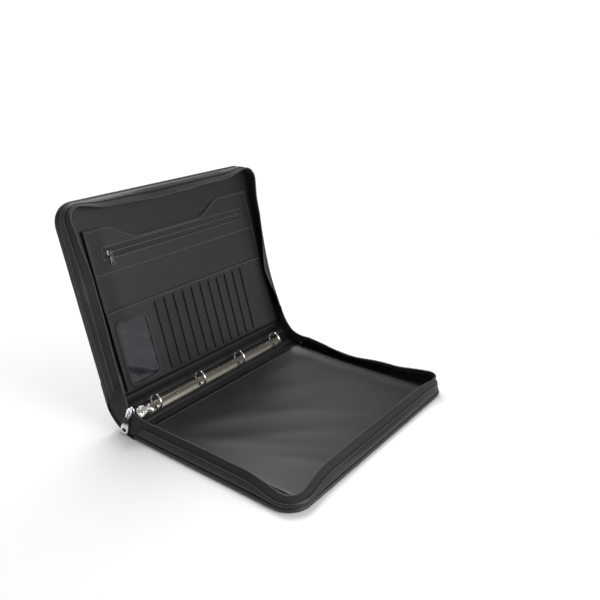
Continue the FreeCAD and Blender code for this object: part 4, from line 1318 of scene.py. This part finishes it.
EDGE = 2.6 * MM
near, far = NEAR + EDGE, FAR - EDGE
wave_line = [(wave_top(y) - EDGE, y) for y in spread(near, far, step=4 * MM)]
rows = [sewn(wave_line, LAYER_WAVE),
        sewn([(LOWER_EDGE + EDGE, near), (LOWER_EDGE + EDGE, far)], LAYER_WAVE),
        sewn([(ORGANISER[0].x + EDGE, near), (wave_top(NEAR) - EDGE, near)], LAYER_WAVE),
        sewn([(ORGANISER[0].x + EDGE, far), (wave_top(FAR) - EDGE, far)], LAYER_WAVE),
        sewn([(CARDS[1].x - EDGE, near), (CARDS[1].x - EDGE, far)], LAYER_CARD)]
AROUND = 1.8 * MM
low_x, high_x, low_y, high_y = ZIP_LOW - AROUND, ZIP_HIGH + AROUND, ZIP_NEAR - AROUND, ZIP_FAR + AROUND
box_line = [(low_x, low_y), (high_x, low_y), (high_x, high_y), (low_x, high_y), (low_x, low_y)]
rows.append(sewn(box_line, LAYER_WAVE))
reach = Vector((FRAME_WIDE / 2, FRAME_WIDE / 2, 0))
frame_line = [(p.x, p.y) for p in rounded_loop(WINDOW[0] - reach, WINDOW[1] + reach, 9 * MM)]
rows.append(sewn(frame_line, LAYER_CARD + 0.85 * MM))
finish_piece(joined(rows), "organiser_stitch", "front_cover", "pocket_sheet", FRONT_PLACE, finish=THREAD)
print("organiser sewn, slit pitch", round(SLIT_PITCH / MM, 2), "mm")

# %% [markdown]
# ## The ring mechanism
# Four rings stand on two spring rails under an arched plate, and a thumb trigger at the near end opens
# them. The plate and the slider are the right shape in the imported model, but their edges are knife-sharp.
# A copy is merged and its edges are bevelled, because it is the thin line of light along an edge that
# makes plated metal look like metal.

# %% Softened copies of hard parts
FOOT = HOUSING[0].x


def softened(node, width, keep_flat=30):
    """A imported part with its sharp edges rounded."""
    shape = bmesh.new()
    shape.from_mesh(NODES[node].data)
    bmesh.ops.remove_doubles(shape, verts=shape.verts, dist=0.002 * MM)
    bmesh.ops.dissolve_limit(shape, angle_limit=radians(1), verts=shape.verts, edges=shape.edges)
    sharp = [e for e in shape.edges if len(e.link_faces) == 2 and e.calc_face_angle(0) > radians(keep_flat)]
    bmesh.ops.bevel(shape, geom=sharp, offset=width, affect="EDGES", segments=2, profile=0.5, material=-1,
                    clamp_overlap=True)
    return shape


plate = softened("ring_housing", 0.18 * MM)
cut_across(plate, 1, HOUSING[0].y, HOUSING[1].y, 4 * MM)
finish_piece(plate, "ring_plate", "spine", "nickel_plate", replaces=["ring_housing"], angle=35)
finish_piece(softened("main_slider", 0.4 * MM), "slider_body", "spine", "cast_zinc",
             replaces=["main_slider"], angle=50)
finish_piece(softened("pocket_slider", 0.25 * MM), "pocket_slider_body", "pocket_slider", "black_zinc",
             replaces=["pocket_slider"], angle=50)

# %% [markdown]
# ### Rings
# A ring is drawn wire, bent to four fifths of a circle with short legs. Each half is a wire bent along
# a line that is worked out in the ring's own plane: up the leg, round a tight elbow, and along the circle.


# %% Bent wire
def bent_wire(points, radius):
    """A round wire with closed ends along a line of points."""
    line = bpy.data.curves.new("wire", "CURVE")
    line.dimensions = "3D"
    line.bevel_depth, line.bevel_resolution, line.use_fill_caps = radius, 3, True
    spline = line.splines.new("POLY")
    spline.points.add(len(points) - 1)
    for point, place in zip(spline.points, points):
        point.co = (*place, 1)
    holder = bpy.data.objects.new("wire", line)
    mesh = bpy.data.meshes.new_from_object(holder)
    shape = bmesh.new()
    shape.from_mesh(mesh)
    bpy.data.objects.remove(holder)
    bmesh.ops.remove_doubles(shape, verts=shape.verts, dist=0.002 * MM)
    bmesh.ops.recalc_face_normals(shape, faces=shape.faces)
    return shape


def mech(h, y, w):
    """A point of the mechanism: height over its foot, place along the spine, and across it."""
    return Vector((FOOT + h, y, PLATE_MIDDLE + w))


RING_PLACES = [(-120 + 80 * i) * MM for i in range(4)]
RING_CENTRE, RING_RADIUS, WIRE = 15.2 * MM, 10 * MM, 1.5 * MM
RING_FIRST, RING_SWEEP, RING_GAP, RING_STEPS = -55, 145, 0.8, 26    # degrees, and how many steps
# The leg and its elbow, in mm: height over the foot, and distance from the ring's middle.
LEG = [(2.4, 4.62), (4.2, 4.62), (5.1, 4.66), (5.75, 4.86), (6.3, 5.2)]


def half_ring(side, y):
    points = [mech(h * MM, y, side * w * MM) for h, w in LEG]
    for step in range(RING_STEPS + 1):
        angle = radians(RING_FIRST + (RING_SWEEP - RING_GAP) * step / RING_STEPS)
        points.append(mech(RING_CENTRE + RING_RADIUS * sin(angle), y, side * RING_RADIUS * cos(angle)))
    return bent_wire(points, WIRE)


for side, body, node in ((-1, "back_rings", "back_ring_halves"), (1, "front_rings", "front_ring_halves")):
    halves = joined([half_ring(side, y) for y in RING_PLACES])
    finish_piece(halves, node + "_wire", body, "chrome_wire", SPINE_PLACE, [node], angle=50)
print("rings bent")

# %% [markdown]
# ### Thumb trigger
# The trigger is a pressed tongue of chromed steel that wraps over the near end of the plate: a narrow
# waist, then a dome with a shallow hollow for the thumb, and a rounded tip. It is a grid whose width,
# height and arch change along its length, hung on a barrel round the pin.

# %% Trigger
PIN = box_before("lever_pin", SPINE_PLACE)
PIN_H, PIN_Y = (PIN[0].x + PIN[1].x) / 2 - FOOT, (PIN[0].y + PIN[1].y) / 2
# Each row of the tongue, in mm: its place along the spine, height over the foot, half width, and arch.
TRIGGER = [(-124.5, 9.5, 7.4, 3.0), (-128.5, 9.5, 7.2, 3.2), (-133, 10.8, 8.4, 5.0),
           (-138, 12.4, 9.2, 6.4), (-142.5, 12.9, 9.3, 6.6), (-147, 12.3, 8.4, 5.2),
           (-150.4, 10.7, 6.4, 3.2), (-152.4, 8.6, 3.6, 1.0)]


def trigger_point(across, row):
    """across runs from -1 to 1 over the tongue, row along it."""
    index = min(int(row), len(TRIGGER) - 2)
    share = row - index
    y, h, half, arch = [between(a, b, share) for a, b in zip(TRIGGER[index], TRIGGER[index + 1])]
    lip = 3.2 * max(0.0, 1 - row) * (1 - across * across)
    hollow = 2.4 * smooth_step(1.0, 0.45, sqrt((across / 0.6) ** 2 + ((row - 4.0) / 1.35) ** 2))
    return mech((h - arch * across * across - hollow) * MM, (y - lip) * MM, half * across * MM)


tongue = sheet_grid(spread(-1, 1, step=0.1), spread(0, len(TRIGGER) - 1, step=0.175), trigger_point)
tongue = finish_piece(tongue, "thumb_trigger", "ring_lever", "chrome_wire", SPINE_PLACE, ["ring_lever"],
                      thickness=1.3 * MM, rounding=0.35 * MM, angle=60)
barrel = bent_wire([mech(PIN_H, PIN_Y, w * MM) for w in (-5.9, 0, 5.9)], 1.6 * MM)
neck = slab((FOOT + PIN_H, -141.0 * MM, PLATE_MIDDLE - 5.0 * MM),
            (FOOT + 9.4 * MM, -139.4 * MM, PLATE_MIDDLE + 5.0 * MM), edge=0.5 * MM)
foot = slab((FOOT + PIN_H, -140.9 * MM, PLATE_MIDDLE - 5.6 * MM),
            (FOOT + PIN_H + 1.4 * MM, PIN_Y, PLATE_MIDDLE + 5.6 * MM), edge=0.3 * MM)
finish_piece(joined([barrel, neck, foot]), "trigger_neck", "ring_lever", "chrome_wire", SPINE_PLACE, angle=50)
print("trigger pressed, pin at", round(PIN_H / MM, 2), round(PIN_Y / MM, 1))

# %% [markdown]
# ### Zip pulls
# Each pull is a flat tab, narrow where it meets its slider and wider at its round end, which has a hole.
# A face is bridged between the tab's outline and the hole, then given its thickness. A loop of wire holds
# the tab under the slider's bridge. The main pull carries painted light: a brighter copy of the cast zinc is
# a painted highlight at its end, and painted shade makes it dark and dull above.

# %% Pulls
SLIDER_TILT = radians(13.5)
SLIDER = SPINE_PLACE @ Matrix.Translation((HINGE.x + WEB_INWARD[-1], -END - 0.1 * MM, HINGE.z + 19 * MM)) \
    @ Matrix.Rotation(-SLIDER_TILT, 4, "Y") @ Matrix.Rotation(radians(90), 4, "X")


def pull_shape(length, narrow, wide, hole, loop_half, start, lift):
    """The tab's mid sheet, lying towards -X from the slider's bar, and its wire loop."""
    centre = Vector((-length + wide, 0, lift))
    outline = [Vector((start, -narrow, lift)), Vector((start, narrow, lift))]
    outline += arc(centre.x, centre.y, lift, wide, 90, 180, 16)
    count = 32
    line = measured(outline + [outline[0]])
    rim = [point_on(line, line[-1][0] * i / count)[0] for i in range(count)]
    tab = bmesh.new()
    edges = []
    for points in (rim, [centre + Vector((cos(a), sin(a), 0)) * hole for a in
                         (atan2(p.y - centre.y, p.x - centre.x) for p in rim)]):
        loop = [tab.verts.new(p) for p in points]
        edges += [tab.edges.new((a, b)) for a, b in zip(loop, loop[1:] + loop[:1])]
    bmesh.ops.bridge_loops(tab, edges=edges)
    bmesh.ops.subdivide_edges(tab, edges=[e for e in tab.edges if e.calc_length() > 3 * MM], cuts=1)
    wire = bent_wire([Vector((start - MM, -loop_half, lift)), Vector((-0.4 * MM, -loop_half, lift)),
                      Vector((0, -loop_half * 0.8, lift)), Vector((0, loop_half * 0.8, lift)),
                      Vector((-0.4 * MM, loop_half, lift)), Vector((start - MM, loop_half, lift))], 0.62 * MM)
    return tab, wire


PULL_LIFT, PULL_TWIST = 1.2 * MM, radians(13)
tab, wire = pull_shape(34 * MM, 3.4 * MM, 5.6 * MM, 3.0 * MM, 2.1 * MM, -5.6 * MM, PULL_LIFT)
bmesh.ops.rotate(tab, cent=(0, 0, PULL_LIFT), matrix=Matrix.Rotation(PULL_TWIST, 3, "X"), verts=tab.verts)
pull_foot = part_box("main_pull")[0][2]
# Painted light on the main pull: a brighter copy of the cast zinc as a painted highlight, turning dark and
# dull 13 to 20 mm above its foot as painted shade.
PULL_ZINC = plated("zinc_painted_light", (0.84, 0.83, 0.81), (0.94, 0.93, 0.91), 0.13, dents=0.03 * MM, size=700,
                   painted_shade_heights=(pull_foot + 13 * MM, pull_foot + 20 * MM))
finish_piece(tab, "main_pull_tab", "main_pull", "cast_zinc", SLIDER, ["main_pull"], thickness=1.5 * MM,
             rounding=0.4 * MM, angle=50, finish=PULL_ZINC)
finish_piece(wire, "main_pull_loop", "main_pull", "cast_zinc", SLIDER, angle=60)
pocket_slider = box_before("pocket_slider", FRONT_PLACE)
POCKET_SLIDER = FRONT_PLACE @ Matrix.Translation((ZIP_MIDDLE, (pocket_slider[0].y + pocket_slider[1].y) / 2,
                                                  pocket_slider[0].z))
tab, wire = pull_shape(17 * MM, 1.9 * MM, 2.8 * MM, 1.5 * MM, 1.5 * MM, -4.4 * MM, 2.0 * MM)
finish_piece(tab, "pocket_pull_tab", "pocket_pull", "black_zinc", POCKET_SLIDER, ["pocket_pull"],
             thickness=0.9 * MM, rounding=0.25 * MM, angle=50)
finish_piece(wire, "pocket_pull_loop", "pocket_pull", "black_zinc", POCKET_SLIDER, angle=60)
print("pulls hung")

# %% [markdown]
# ## The studio
# A pale floor that fades into a bright room, and two large soft lights. Black skins show only what they
# reflect, so the room is bright at the horizon and darker overhead, and that change is what draws the
# folds. One light from behind lays the long highlights over the open covers.

# %% Floor, light and camera
FLOOR_HALF, FLOOR_DROP = 1.6, 0.4 * MM
FADE_FROM, FADE_TO = 0.45, 1.5
floor = bmesh.new()
bmesh.ops.create_grid(floor, x_segments=1, y_segments=1, size=FLOOR_HALF)
floor_mesh = bpy.data.meshes.new("studio_floor")
bmesh.ops.translate(floor, vec=(0, 0, -FLOOR_DROP), verts=floor.verts)
floor.to_mesh(floor_mesh)
floor.free()
floor_thing = bpy.data.objects.new("studio_floor", floor_mesh)
bpy.context.scene.collection.objects.link(floor_thing)
floor_finish = Finish("pale_floor")
away = floor_finish.add("ShaderNodeVectorMath", {"operation": "LENGTH"},
                        {0: floor_finish.place.outputs["Object"]})
fade = floor_finish.add("ShaderNodeMapRange", {"interpolation_type": "SMOOTHSTEP"},
                        {"Value": away.outputs["Value"], "From Min": FADE_FROM, "From Max": FADE_TO,
                         "To Min": 1.0, "To Max": 0.0})
pale = floor_finish.shade((0.88, 0.88, 0.88), (0.92, 0.92, 0.92), floor_finish.noise(3))
floor_mesh.materials.append(floor_finish.surface(Base_Color=pale, Roughness=0.9,
                                                 Alpha=Wire(floor_finish, fade.outputs[0])))
floor_thing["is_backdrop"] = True

world = bpy.data.worlds.new("bright_room")
bpy.context.scene.world = world
world.use_nodes = True
room = world.node_tree
way = room.nodes.new("ShaderNodeTexCoord")
height = room.nodes.new("ShaderNodeSeparateXYZ")
walls = room.nodes.new("ShaderNodeMapRange")
walls.interpolation_type = "SMOOTHSTEP"
for socket, value in (("From Min", 0.05), ("From Max", 0.5), ("To Min", 1.05), ("To Max", 0.34)):
    walls.inputs[socket].default_value = value
room.links.new(way.outputs["Generated"], height.inputs[0])
room.links.new(height.outputs["Z"], walls.inputs["Value"])
room.links.new(walls.outputs[0], room.nodes["Background"].inputs["Strength"])
room.nodes["Background"].inputs["Color"].default_value = (1.0, 1.0, 1.0, 1)
bpy.context.scene.view_settings.view_transform = "Standard"


def soft_light(name, place, towards, size, power):
    lamp = bpy.data.lights.new(name, "AREA")
    lamp.shape, lamp.size, lamp.energy = "DISK", size, power
    thing = bpy.data.objects.new(name, lamp)
    thing.location = place
    thing.rotation_euler = (Vector(towards) - Vector(place)).to_track_quat("-Z", "Y").to_euler()
    bpy.context.scene.collection.objects.link(thing)


soft_light("key", (-0.9, 0.5, 1.5), (0, 0, 0.05), 1.2, 26)
soft_light("fill", (1.5, 0.15, 0.55), (0.12, 0, 0.02), 1.2, 24)

AZIMUTH, ELEVATION, ROLL = radians(37.72), radians(21.365), radians(-0.534)
CAMERA_PLACE, SENSOR, FOCAL_LENGTH = (0.48297, -0.61723, 0.46675), 36, 40.776
back = Vector((sin(AZIMUTH) * cos(ELEVATION), -cos(AZIMUTH) * cos(ELEVATION), sin(ELEVATION)))
right = UP.cross(back).normalized()
upward = back.cross(right)
right, upward = right * cos(ROLL) + upward * sin(ROLL), upward * cos(ROLL) - right * sin(ROLL)
lens = bpy.data.cameras.new("camera")
lens.sensor_width, lens.lens, lens.clip_start = SENSOR, FOCAL_LENGTH, 0.02
camera = bpy.data.objects.new("camera", lens)
turn = Matrix((right, upward, back)).transposed().to_4x4()
camera.matrix_world = Matrix.Translation(CAMERA_PLACE) @ turn
bpy.context.scene.collection.objects.link(camera)
bpy.context.scene.camera = camera
print("studio ready")

# %% [markdown]
# ## The size, and the end
# Both boxes, the imported model's and the visual model's, are printed. The visual model may stand only a
# little outside the imported model's box.

# %% Sizes, and the end
MODEL_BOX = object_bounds()
for name, box in (("cad", CAD_BOX), ("visual", MODEL_BOX)):
    print(name, [[round(c, 4) for c in corner] for corner in box])
